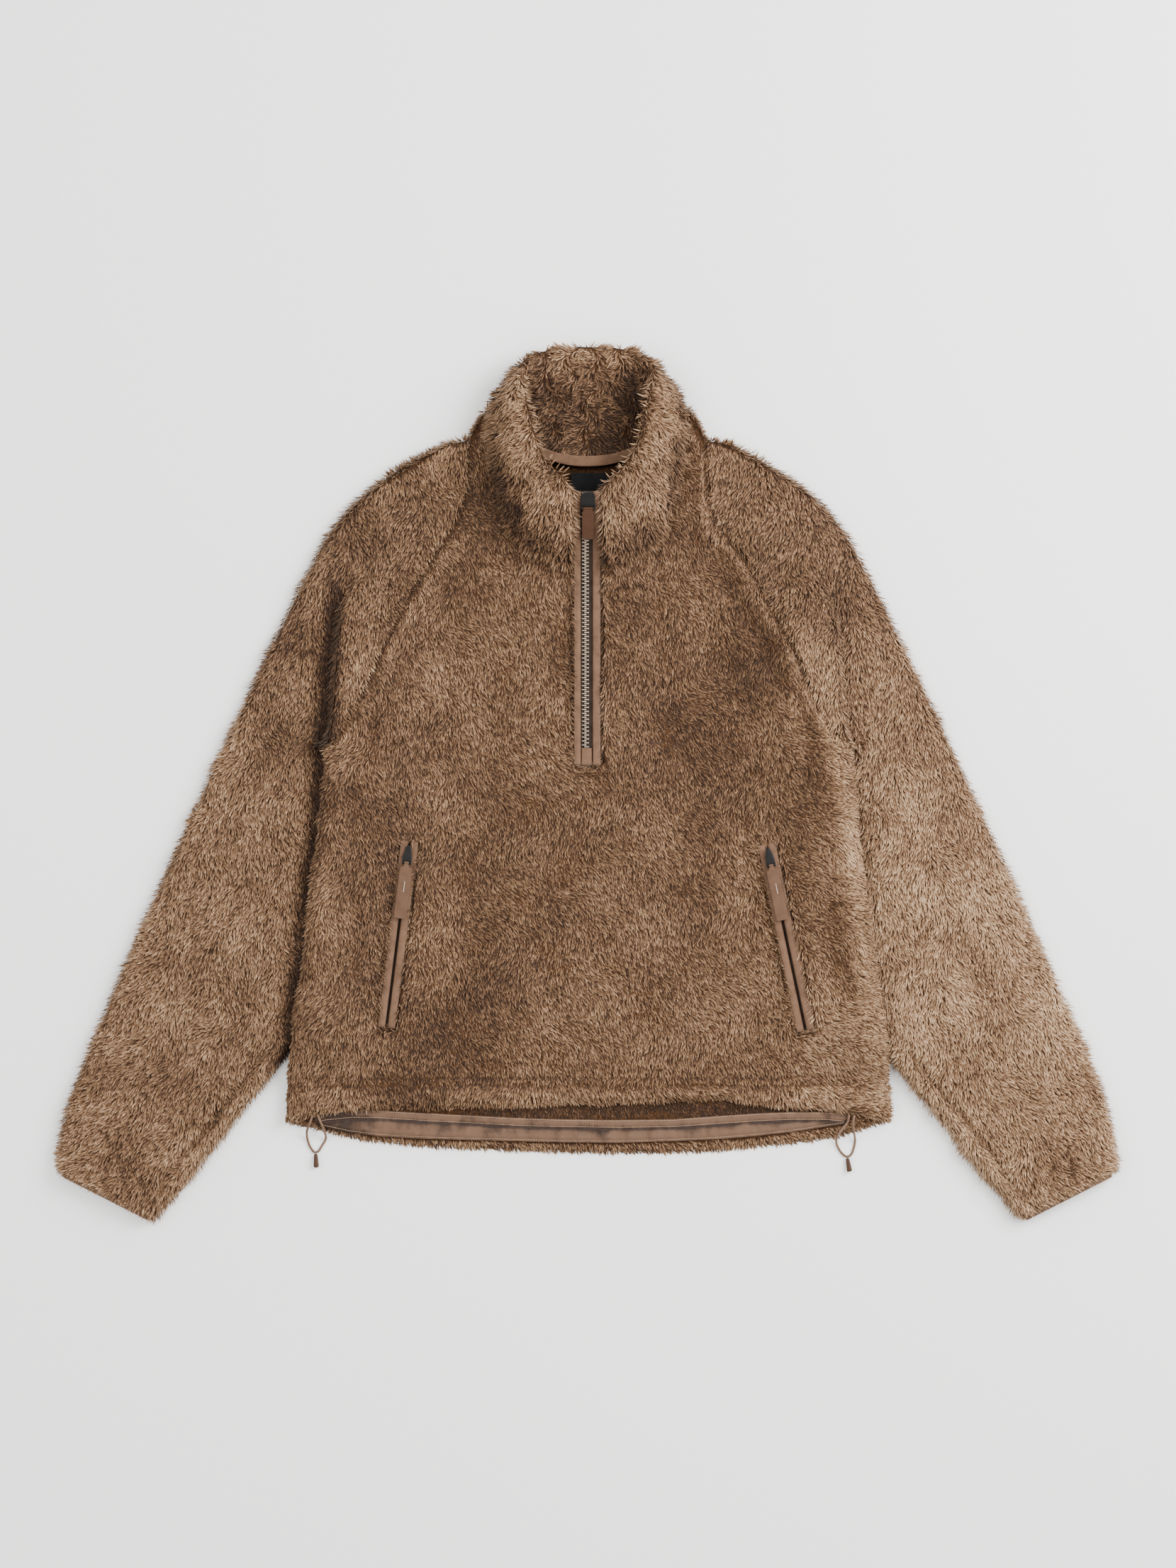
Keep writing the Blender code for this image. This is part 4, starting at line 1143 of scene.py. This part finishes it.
# %% A folded strip along a line
def loft(bm, sections):
    """A closed skin through rings of points, its faces turned outwards."""
    rings = [[bm.verts.new(point) for point in section] for section in sections]
    count = len(rings[0])
    for low, high in zip(rings, rings[1:]):
        for k in range(count):
            n = (k + 1) % count
            bm.faces.new((low[k], low[n], high[n], high[k]))
    bm.faces.new(rings[0][::-1])
    bm.faces.new(rings[-1])
    bmesh.ops.recalc_face_normals(bm, faces=bm.faces)


def circle(count):
    """Cosine and sine of evenly spaced turns."""
    turns = [2 * math.pi * k / count for k in range(count)]
    return [(math.cos(turn), math.sin(turn)) for turn in turns]


def sweep_strip(name, centre, across, up, width, height, crown=0.35):
    """centre, across and up are arrays (n, 3) in metres; the strip's underside lies on centre."""
    sunk = 1 - crown * 0.35
    arch = (
        (-0.5, 0.0), (-0.5, 0.55), (-0.44, 0.86), (-0.3, sunk), (0, 1.0), (0.3, sunk), (0.44, 0.86),
        (0.5, 0.55), (0.5, 0.0), (0.0, 0.0),
    )
    bm = bmesh.new()
    loft(bm, [
        [middle + aside * (u * width) + rise * (v * height) for u, v in arch]
        for middle, aside, rise in zip(centre, across, up)
    ])
    crease = bm.edges.layers.float.new("crease_edge")
    for edge in bm.edges:
        if any(len(face.verts) > 4 for face in edge.link_faces):
            edge[crease] = 0.8
    return rounded_off(bm, name, 1)


# %% [markdown]
# ## The line of the half zip
# From the placket's end the zip lies flat on the chest, then climbs the open collar. The part
# gives its height at a few places up the garment. A smooth curve through them places the tape,
# the teeth, the strips and the stitches, each with the zip's own slope.

# %% The zip line
ZIP_PROFILE = ((10, 8.4), (150, 8.4), (188, 8.8), (203, 14.5), (225, 26), (245, 33), (260, 35.5))


def smooth_line(rows):
    """A function that reads a smooth curve through rows of place and value."""
    at, value = np.array(sorted(rows), float).T
    slope = np.gradient(value, at)

    def read(wanted):
        wanted = np.clip(wanted, at[0], at[-1])
        i = np.clip(np.searchsorted(at, wanted) - 1, 0, len(at) - 2)
        step = at[i + 1] - at[i]
        t = (wanted - at[i]) / step
        begin = value[i] * (1 + 2 * t) * (1 - t) ** 2 + slope[i] * step * t * (1 - t) ** 2
        end = value[i + 1] * t * t * (3 - 2 * t) + slope[i + 1] * step * t * t * (t - 1)
        return begin + end

    return read


zip_height = smooth_line(ZIP_PROFILE)


def zip_frame(x, low_y, high_y, over, count=60):
    """Points up the zip in metres, at x and a height over the tape, with across and up there."""
    y = np.linspace(low_y, high_y, count)
    z = zip_height(y)
    slope = np.gradient(z, y)
    up = unit(np.stack([np.zeros(count), -slope, np.ones(count)], axis=1))
    centre = np.stack([np.full(count, x), y, z], axis=1) + up * over
    across = np.tile([1.0, 0.0, 0.0], (count, 1))
    return centre * MM, across, up


def zip_strip(name, left, right, low_y, high_y, over, height, crown):
    centre, across, up = zip_frame((left + right) / 2, low_y, high_y, over)
    return sweep_strip(name, centre, across, up, (right - left) * MM, height * MM, crown)


# %% Tape, placket strips and end tab
# Piece, its node, its look, its sides, its lower end, its upper end, its height over the tape's
# line, its thickness and how far its face falls away beside the middle.
ZIP_STRIPS = (
    ("zip_tape_cloth", "zip_tape", dark_tape, -12.1, 11.7, 16.3, 255.0, 0.0, 0.8, 0.0),
    ("placket_cloth_left", "placket_left", taupe_weave, -12.1, -5.6, 16.6, 255.0, 0.9, 3.7, 0.35),
    ("placket_cloth_right", "placket_right", taupe_weave, 4.7, 11.7, 16.6, 255.0, 0.9, 3.7, 0.35),
    ("zip_end_cloth", "zip_end_tab", taupe_weave, -5.2, 4.2, 16.6, 31.5, 1.1, 2.4, 0.35),
)
for name, node, look, *sizes in ZIP_STRIPS:
    dress(zip_strip(name, *sizes), look, node, slot="woven")

# %% [markdown]
# ## Moulded teeth
# Each tooth is a small rounded block gripping the tape's edge, with a head that sits between
# the two teeth opposite. One tooth is modelled, and Geometry Nodes set it along the zip's line
# at its pitch, every other one turned round to come from the other side.

# %% The teeth
TOOTH_PITCH = 3.44 * MM
TEETH_X = -1.7


def make_tooth():
    """A tooth in its own frame: stem towards +X, head over the line, length along Y."""
    outline = ((-0.9, 0.42), (0.2, 0.70), (0.9, 0.42), (2.9, 0.52), (3.1, 0.3))
    ring = [*outline, *((x, -y) for x, y in outline[::-1])]
    middle = 0.9
    bm = bmesh.new()
    loft(bm, [
        [((middle + (x - middle) * share) * MM, y * share * MM, level * MM) for x, y in ring]
        for level, share in ((0.0, 1.0), (1.25, 0.96), (1.75, 0.62))
    ])
    mesh = mesh_of(bm, "tooth")
    mesh.shade_smooth()
    mesh.set_sharp_from_angle(angle=math.radians(40))
    return pattern("tooth", mesh)


def row_tree():
    """Sets a piece along a line at an even pitch; every other one may be turned half round."""
    tree, given = new_group("set_along_a_line", Piece="Object", Pitch="Float", Alternate="Bool")
    line = add_node(tree, "GeometryNodeMeshToCurve", {0: given["Geometry"]}).outputs[0]
    inputs = {"Curve": line, "Length": given["Pitch"]}
    points = add_node(tree, "GeometryNodeCurveToPoints", inputs, mode="LENGTH").outputs
    number = add_node(tree, "GeometryNodeInputIndex").outputs[0]
    half_round = arithmetic(tree, "MULTIPLY", arithmetic(tree, "MODULO", number, 2), math.pi)
    chosen_turn = arithmetic(tree, "MULTIPLY", half_round, given["Alternate"])
    euler = add_node(tree, "ShaderNodeCombineXYZ", {"Z": chosen_turn}).outputs[0]
    spin = add_node(tree, "FunctionNodeEulerToRotation", {0: euler}).outputs[0]
    laid = stand_and_face(tree, read(tree, "up", "FLOAT_VECTOR"), points["Tangent"])
    inputs = {"Rotation": laid, "Rotate By": spin}
    turn = add_node(tree, "FunctionNodeRotateRotation", inputs, rotation_space="LOCAL").outputs[0]
    return close_group(tree, given, copies(tree, given["Piece"], points["Points"], turn))


line_tree = row_tree()


def set_along(name, points, up, piece, pitch, look, alternate=False):
    """Copies of piece along points in metres, as one plain mesh."""
    mesh = bpy.data.meshes.new(name)
    steps = [(k, k + 1) for k in range(len(points) - 1)]
    mesh.from_pydata([tuple(p) for p in points], steps, [])
    store(mesh, "up", np.array(up, float), "FLOAT_VECTOR")
    line = mesh_object(name + "_line", mesh)
    return grown(
        line, name, line_tree, Piece=piece, Pitch=pitch, Alternate=alternate, Material=look,
    )


tooth = make_tooth()
centre, _, up = zip_frame(TEETH_X, 32.5, 253.5, 1.1)
zip_teeth = set_along("moulded_teeth", centre, up, tooth, TOOTH_PITCH / 2, tooth_plastic, True)
dress(zip_teeth, None, "zip_teeth", slot="teeth")
print("the teeth have", len(zip_teeth.data.polygons), "faces")

# %% [markdown]
# ## Stitches
# Sewing thread lies on woven cloth as short plump dashes with a dent between them. One stitch is
# a small rounded capsule, and the same tree that set the teeth sets it along each seam: down both
# sides of the placket and across its end, down the welts, round the label and along the facing.

# %% A stitch, and the placket's rows of them
STITCH_LENGTH = 2.1 * MM
STITCH_PITCH = 2.9 * MM
THREAD = 0.42 * MM
UP = (0, 0, 1)


def make_stitch(name, length, thick):
    """A flattened capsule, length along Y."""
    ends = ((-0.5, 0.35), (-0.36, 0.9), (0.0, 1.0), (0.36, 0.9), (0.5, 0.35))
    bm = bmesh.new()
    loft(bm, [
        [(cos * thick * wide / 2, y * length, sin * thick * wide * 0.35) for cos, sin in circle(6)]
        for y, wide in ends
    ])
    mesh = mesh_of(bm, name)
    mesh.shade_smooth()
    return pattern(name, mesh)


stitch = make_stitch("stitch", STITCH_LENGTH, THREAD)


def stitched(name, points, up, look=thread_colour, pitch=STITCH_PITCH, slot="woven"):
    """A row of stitches along points, sewn to the garment."""
    return dress(set_along(name, points, up, stitch, pitch, look), None, slot=slot)


for side, x in (("left", -10.9), ("right", 10.4)):
    centre, _, up = zip_frame(x, 18, 253, 4.25)
    stitched("placket_stitches_" + side, centre, up)
centre = np.array([[x, 18.4, 12.55] for x in np.linspace(-11.0, 10.6, 12)]) * MM
stitched("placket_end_stitches", centre, [UP] * 12)

# %% [markdown]
# ## Sliders and pulls
# A slider is a shield with a rounded nose, a shallow bridge and two ears that hold the pull. The
# neck's pull is a glossy moulded tab. The pockets' pulls are a fold of woven tape, closed by a
# small bar of pale stitches. Each is built about its hinge and laid along the zip's slope, on
# the solid that it stands for.

# %% Slider and pull shapes
BARREL = 1.1


def ring_of(half, low, high, y, corner=0.3):
    """A rounded rectangle across the piece at y."""
    inset = min(corner, half * 0.5, (high - low) * 0.45)
    wide, foot, head = half - inset, low + inset, high - inset
    return [(x, y, z) for x, z in (
        (-wide, low), (wide, low), (half, foot), (half, head), (wide, high), (-wide, high),
        (-half, head), (-half, foot),
    )]


def finish_hard(name, bm, matrix, levels=2):
    """The cage in bm, built in millimetres, put in its place and rounded off."""
    bmesh.ops.scale(bm, vec=(MM, MM, MM), verts=bm.verts)
    bmesh.ops.transform(bm, matrix=matrix, verts=bm.verts)
    return rounded_off(bm, name, levels)


def slider_shape(name, wide, long, nose, drop, matrix, pinch=0.47):
    """A shield with a nose and two ears; all sizes in millimetres about the pull's hinge."""
    bm = bmesh.new()
    half, low, high = wide / 2, -drop, -BARREL - 0.3
    sections = []
    for share, width in (
        (0.0, half * 0.96), (0.04, half), (0.3, half), (0.42, half * 0.96),
        (0.72, (half + nose / 2) * pinch), (0.92, nose * 0.5), (1.0, nose * 0.36),
    ):
        arch = 0.25 * math.sin(math.pi * min(share * 1.3, 1))
        sections.append(ring_of(width, low, high + arch, -1.6 + share * long))
    loft(bm, sections)
    for side in (-1, 1):
        middle = side * (half - 1.2)
        loft(bm, [
            [(x + middle, py, z) for x, py, z in ring_of(0.6, high - 0.2, top, y, 0.2)]
            for y, top in ((-1.4, 0.2), (-0.9, BARREL), (0.9, BARREL), (1.6, 0.2))
        ])
    return finish_hard(name, bm, matrix)


def pull_shape(name, slot, wide, long, matrix, thick=1.6):
    """A tab with a narrow neck and a round barrel in the slider's ears, in millimetres."""
    bm = bmesh.new()
    low = -BARREL + 0.1
    loft(bm, [
        ring_of(half, low, low + thick, y, 0.35)
        for y, half in (
            (0.5, slot / 2), (-3.4, slot / 2), (-4.4, wide / 2 - 0.3), (-5.0, wide / 2),
            (-long * 0.5, wide / 2), (-long + 1.4, wide / 2), (-long + 0.5, wide / 2 - 0.3),
            (-long, wide / 2 - 1.1),
        )
    ])
    loft(bm, [
        [(x, BARREL * cos, BARREL * sin) for cos, sin in circle(8)]
        for x in (-slot / 2, -slot / 2 + 0.2, slot / 2 - 0.2, slot / 2)
    ])
    return finish_hard(name, bm, matrix)


def placed(point, *turns):
    """A matrix that turns about axes, given as (angle, axis), and moves to a point in mm."""
    matrix = Matrix.Translation(Vector(point) * MM)
    for angle, axis in turns:
        matrix = matrix @ Matrix.Rotation(angle, 4, axis)
    return matrix


# %% The neck slider and its glossy pull
neck_place = placed((0.6, 239.6, 40.2), (math.radians(22.5), "X"))
neck_slider = slider_shape("neck_slider", 13.0, 15.5, 12.0, 3.2, neck_place, 0.5)
dress(neck_slider, black_metal, "zip_slider", slot="black_metal")
neck_pull = pull_shape("neck_pull", 8.8, 10.6, 28.5, neck_place)
dress(neck_pull, gloss_brown, "zip_pull", slot="gloss_tab", body="neck_pull_body")

# %% [markdown]
# ## Pockets
# Each side pocket is a straight slit with a woven welt along both edges and a concealed zip
# between them. The fleece around it is sewn flat. The welts are folded strips with a stitched
# edge, over a dark tape.

# %% Welts, tape, slider and pull of each pocket
PILE_WALL, GAP = 7.0, 0.3
FOLD_LINE = smooth_line([(y, x) for x, y in FOLD])


# The front's rise over the tucked sleeves: how high, and in millimetres from where to where it
# comes and goes up the garment, and inwards from the fold.
LIFT = 14.9
LIFT_TOP, LIFT_TOP_RUN = 205.0, 65.0
LIFT_FOOT, LIFT_FOOT_RUN = -264.0, 46.0
LIFT_INSIDE, LIFT_INSIDE_RUN = 32.0, 83.0


def body_lift(x, y):
    """How far the front rises near its sides, over the tucked sleeves, as in the part."""
    share = smooth_step((LIFT_TOP - y) / LIFT_TOP_RUN)
    share = share * smooth_step((y - LIFT_FOOT) / LIFT_FOOT_RUN)
    inside = FOLD_LINE(y) - np.abs(x)
    return LIFT * share * (1 - smooth_step((inside - LIFT_INSIDE) / LIFT_INSIDE_RUN))


def pocket_frame(side, across, over, inset=0.0, count=24):
    """Points down a pocket in metres, so far across it and so high over the front's base."""
    top, bottom, down, aside = slit(POCKETS[side])
    run = np.linspace(inset, np.linalg.norm(bottom - top) - inset, count)
    plan = top + run[:, None] * down + across * aside
    height = PILE_WALL + GAP + body_lift(plan[:, 0], plan[:, 1]) + over
    centre = np.column_stack([plan, height]) * MM
    return centre, np.tile([*aside, 0.0], (count, 1)), np.tile(np.array(UP, float), (count, 1))


# How far down the slit the slider's hinge lies, how high over the front's base, and the pull.
HINGE_DOWN, HINGE_HIGH = 19.0, 7.6 + 4.3
PULL_WIDE, PULL_LONG = 10.8, 49.0

for side, line in POCKETS.items():
    tape_line = pocket_frame(side, 0.0, 0.6)
    tape = sweep_strip("pocket_tape_" + side, *tape_line, 16.0 * MM, 1.6 * MM, 0.0)
    dress(tape, dark_tape, "pocket_zip_" + side, slot="pocket_tape")
    for edge, which in ((-1, "outer"), (1, "inner")):
        name = f"{side}_{which}"
        welt_line = pocket_frame(side, edge * 4.45, 2.6)
        welt = sweep_strip("pocket_welt_cloth_" + name, *welt_line, 6.9 * MM, 5.0 * MM)
        dress(welt, taupe_weave, "pocket_welt_" + name, slot="woven")
        centre, _, up = pocket_frame(side, edge * 6.6, 7.05, 2)
        stitched("welt_stitches_" + name, centre, up)
    top, _, down, _ = slit(line)
    hinge = top + down * HINGE_DOWN
    ahead = hinge + down * PULL_LONG
    rise = PILE_WALL + GAP + float(body_lift(*hinge)) + HINGE_HIGH
    slope = math.atan2(float(body_lift(*hinge) - body_lift(*ahead)), PULL_LONG)
    place = placed((*hinge, rise), (math.atan2(down[0], -down[1]), "Z"), (slope, "X"))
    slider = slider_shape("pocket_slider_metal_" + side, 8.2, 17.0, 4.0, 2.7, place)
    dress(slider, black_metal, "pocket_slider_" + side, slot="black_metal")
    pull = pull_shape("pocket_pull_tape_" + side, 4.0, PULL_WIDE, PULL_LONG, place, 1.5)
    pull_body = f"pocket_pull_{side}_body"
    dress(pull, pull_weave, "pocket_pull_" + side, slot="woven", body=pull_body)
    points = [place @ (Vector((0.4, y, 0.62)) * MM) for y in np.linspace(-17.0, -25.0, 12)]
    up = [tuple((place.to_3x3() @ Vector(UP)).normalized())] * len(points)
    tack_stitch = make_stitch("tack_stitch_" + side, 1.5 * MM, 0.9 * MM)
    tack = set_along("bar_tack_" + side, points, up, tack_stitch, 1.2 * MM, bar_tack_thread)
    dress(tack, None, slot="woven", body=pull_body)
    print(side, "pocket's hinge is", round(rise, 1), "mm up")

# %% [markdown]
# ## Bindings, neck tape and label
# A narrow woven band closes each cuff, a tape covers the neck seam inside the collar, and a
# plain black label is sewn below it. Each keeps its solid's form, rounded off, because they are
# thin bands with nothing more to them than their edges and their weave.

# %% Cuff bindings, neck tape and label
for name, node, levels, look, slot in (
    ("cuff_band_left", "cuff_binding_left", 2, taupe_weave, "woven"),
    ("cuff_band_right", "cuff_binding_right", 2, taupe_weave, "woven"),
    ("neck_seam_tape", "neck_tape", 2, taupe_weave, "woven"),
    ("plain_label", "neck_label", 3, label_weave, "label"),
):
    dress(rounded_copy(name, node, levels), look, node, slot=slot)
LABEL_STITCH_LEVEL = 8.05
label_edge = [(-12.8, 255.6), (17.8, 255.6), (17.8, 270.9), (-12.8, 270.9), (-12.8, 255.6)]
points = []
for (x0, y0), (x1, y1) in zip(label_edge, label_edge[1:]):
    for t in np.linspace(0, 1, 6)[:-1]:
        points.append((x0 + (x1 - x0) * t, y0 + (y1 - y0) * t, LABEL_STITCH_LEVEL))
stitched("label_stitches", np.array(points) * MM, [UP] * len(points), label_weave, slot="label")

# %% [markdown]
# ## The hem facing
# Inside the back hem a satin facing covers the seam. Three rows of stitches hold it, two along
# its upper edge and one along its lower, and pull it a little. Fine upright wrinkles run below
# the upper two and catch the light.

# %% The facing and its stitches
FACING_LEVEL, FACING_THICK, CHANNEL = 7.25, 0.8, 6.4
COLUMNS, ROWS = 340, 17
FACING_PITCH = 2.3 * MM


def facing_mesh():
    """A thin closed sheet between the facing's two edges, drawn up into soft wrinkles."""
    x = np.linspace(HEM_FACING[0][0], HEM_FACING[-1][0], COLUMNS)
    high, low = facing_edges(x)
    share = np.linspace(0, 1, ROWS)
    across, along = np.meshgrid(share, x)
    plan = np.column_stack([along.ravel(), (low[:, None] + (high - low)[:, None] * across).ravel()])
    tall = np.repeat(high - low, ROWS)
    under_top = (1 - across.ravel()) * tall
    over_foot = across.ravel() * tall
    slanted = np.column_stack([plan[:, 0] + 2.5 * np.sin(plan[:, 1] / 5.0), 0.18 * plan[:, 1]])
    loose = smooth_step((under_top - CHANNEL) / 2.5) * smooth_step((over_foot - 1.4) / 2.5)
    height = loose * (1.3 + 0.5 * waves(slanted, 18, 51) + 0.2 * waves(slanted, 7, 52))
    height += 0.45 * bell(under_top - CHANNEL / 2, 2.2) - 0.25 * bell(under_top - CHANNEL, 0.6)
    edges = 0.5 * bell(over_foot, 0.7) + 0.5 * bell(under_top, 0.7)
    height -= 0.25 * bell(over_foot - 1.6, 0.6) + edges
    top = np.column_stack([plan, FACING_LEVEL + FACING_THICK + height])
    foot = np.column_stack([plan, np.full(len(plan), FACING_LEVEL)])
    starts = [c * ROWS + r for c in range(COLUMNS - 1) for r in range(ROWS - 1)]
    faces = [(k, k + ROWS, k + ROWS + 1, k + 1) for k in starts]
    count = len(plan)
    faces += [tuple(count + k for k in face[::-1]) for face in faces]
    rim = [c * ROWS for c in range(COLUMNS)] + [(COLUMNS - 1) * ROWS + r for r in range(1, ROWS)]
    rim += [c * ROWS + ROWS - 1 for c in range(COLUMNS - 2, -1, -1)] + list(range(ROWS - 2, 0, -1))
    faces += [(a, a + count, b + count, b) for a, b in zip(rim, rim[1:] + rim[:1])]
    mesh = bpy.data.meshes.new("satin_hem_facing")
    mesh.from_pydata(np.vstack([top, foot]) * MM, [], faces)
    mesh.shade_smooth()
    mesh.set_sharp_from_angle(angle=math.radians(60))
    # Painted shade under the channel's stitches, painted light on the channel and on the roll above
    # the lower edge, painted light and shade over the wrinkles, a painted shadow of the front's hem
    # over the left end, and darker towards the right end.
    shade = 0.10 * bell(under_top - CHANNEL / 2, 2.0) - 0.45 * bell(under_top - CHANNEL - 1.6, 1.7)
    shade += 0.16 * bell(over_foot - 4.5, 3.0) + 0.14 * loose * waves(slanted, 24, 53)
    x = plan[:, 0]
    shade -= 0.45 * smooth_step((-175 - x) / 50) + 0.2 * smooth_step((x - 190) / 30)
    store(mesh, "shade", np.concatenate([shade, shade]))
    return mesh_object("satin_hem_facing", mesh)


facing = facing_mesh()
dress(facing, satin_facing, "hem_facing", slot="facing")
facing_x = np.linspace(-232, 224, 140)
high, low = facing_edges(facing_x)
level = np.full(len(facing_x), FACING_LEVEL + FACING_THICK + 0.1)
for name, line in (("edge", high - 0.9), ("channel", high - CHANNEL), ("lower", low + 1.6)):
    centre = np.column_stack([facing_x, line, level])[line > low + 1.2] * MM
    up = [UP] * len(centre)
    name = "facing_stitches_" + name
    stitched(name, centre, up, facing_thread, FACING_PITCH, "facing")
print("the facing is", HEM_FACING[-1][0] - HEM_FACING[0][0], "mm long")

# %% [markdown]
# ## Cord ends
# A moulded toggle closes each loop of the drawcord: a short turned shape, wider away from the
# loop, that lies on the surface.

# %% Toggles, and the cords' material
TOGGLES = {
    "left": ((-238.3, -324.4), (-237.8, -336.6)),
    "right": ((228.2, -328.2), (230.2, -340.2)),
}
TOGGLE_LEVEL = 2.6
TOGGLE_PROFILE = (
    # Share of its length, radius in millimetres
    (0.0, 1.0), (0.04, 1.5), (0.1, 1.75), (0.3, 1.9), (0.75, 2.35), (0.86, 2.5), (0.94, 2.4),
    (1.0, 1.9),
)


def make_toggle(name, start, stop):
    start, stop = Vector((*start, TOGGLE_LEVEL)), Vector((*stop, TOGGLE_LEVEL))
    axis = stop - start
    turn = axis.to_track_quat("Z", "Y")
    spokes = [turn @ Vector((cos, sin, 0)) for cos, sin in circle(12)]
    bm = bmesh.new()
    loft(bm, [
        [start + axis * share + radius * spoke for spoke in spokes]
        for share, radius in TOGGLE_PROFILE
    ])
    return finish_hard(name, bm, Matrix.Identity(4), 1)


for side, cord in cords.items():
    toggle = make_toggle("cord_toggle_" + side, *TOGGLES[side])
    dress(toggle, gloss_brown, "cord_end_" + side, slot="gloss_tab")
    dress(cord, cord_weave, "drawcord_" + side, slot="cord")

# %% [markdown]
# ## The cloth
# Each fleece piece takes its material and stands for its solid. Its tufts ride with it. For
# each sheet the lesson states the size that it was cut to, which is an estimate: the width and
# the length of the cloth, and its area where the cut isn't a rectangle. A sleeve's width goes all
# round the tube.

# %% Fleece pieces take their places
CUTS = (
    # node, (width, length) and area of the cut
    ("front", (0.53, 0.62), 0.245), ("back", (0.53, 0.65), 0.263),
    ("sleeve_left", (0.47, 0.73), 0.20), ("sleeve_right", (0.47, 0.73), 0.20),
    ("collar_outer", (0.46, 0.09), 0.036), ("collar_inner", (0.46, 0.09), 0.036),
)
for node, cut, area in CUTS:
    skin = dress(skins[node], fleece_ground, node, slot="fleece")
    for piece in fur[node]:
        dress(piece, None, slot="fleece")
    measured = sum(face.area for face in skin.data.polygons) / 2
    print(node, "skin", round(measured, 4), "m2, cut", area, "m2")

# %% [markdown]
# ## Floor and light
# The photograph is a cut-out on white, lit softly with a little more light from the right: the
# right side of each ridge is bright and the left side of the body casts a shade on the sleeve.
# A pale floor, a bright even sky and two large area lights give that, with the painted light and
# shade in the fleece's colour.

# %% Stage
floor_mesh = bpy.data.meshes.new("floor")
floor_mesh.from_pydata([(-4, -4, 0), (4, -4, 0), (4, 4, 0), (-4, 4, 0)], [], [(0, 1, 2, 3)])
floor = mesh_object("floor", floor_mesh)
paper, tree, shader = new_material("pale_floor")
feed(tree, shader, {"Base Color": (0.93, 0.93, 0.925, 1), "Roughness": 0.9})
floor_mesh.materials.append(paper)

world = bpy.data.worlds.new("soft_sky")
world.use_nodes = True
sky = world.node_tree.nodes["Background"]
feed(world.node_tree, sky, {"Color": (1.0, 0.99, 0.975, 1), "Strength": 1.5})
scene.world = world


def area_light(name, place, size, energy):
    lamp = bpy.data.lights.new(name, "AREA")
    lamp.size = size
    lamp.energy = energy
    made = bpy.data.objects.new(name, lamp)
    made.location = place
    made.rotation_euler = (-Vector(place)).to_track_quat("-Z", "Y").to_euler()
    scene.collection.objects.link(made)


area_light("key_right", (1.7, 0.9, 1.5), 1.4, 118)
area_light("fill_left", (-1.8, 0.6, 2.4), 2.2, 44)

# %% [markdown]
# ## The end
# The patterns that were only copied from are removed, and the triangles of everything that
# renders are counted.

# %% Finish
for helper in patterns:
    bpy.data.objects.remove(helper)
made = [o.data for o in scene.objects if o.type == "MESH" and not o.hide_render and o != floor]
print("triangles in all", sum(len(f.vertices) - 2 for mesh in made for f in mesh.polygons))
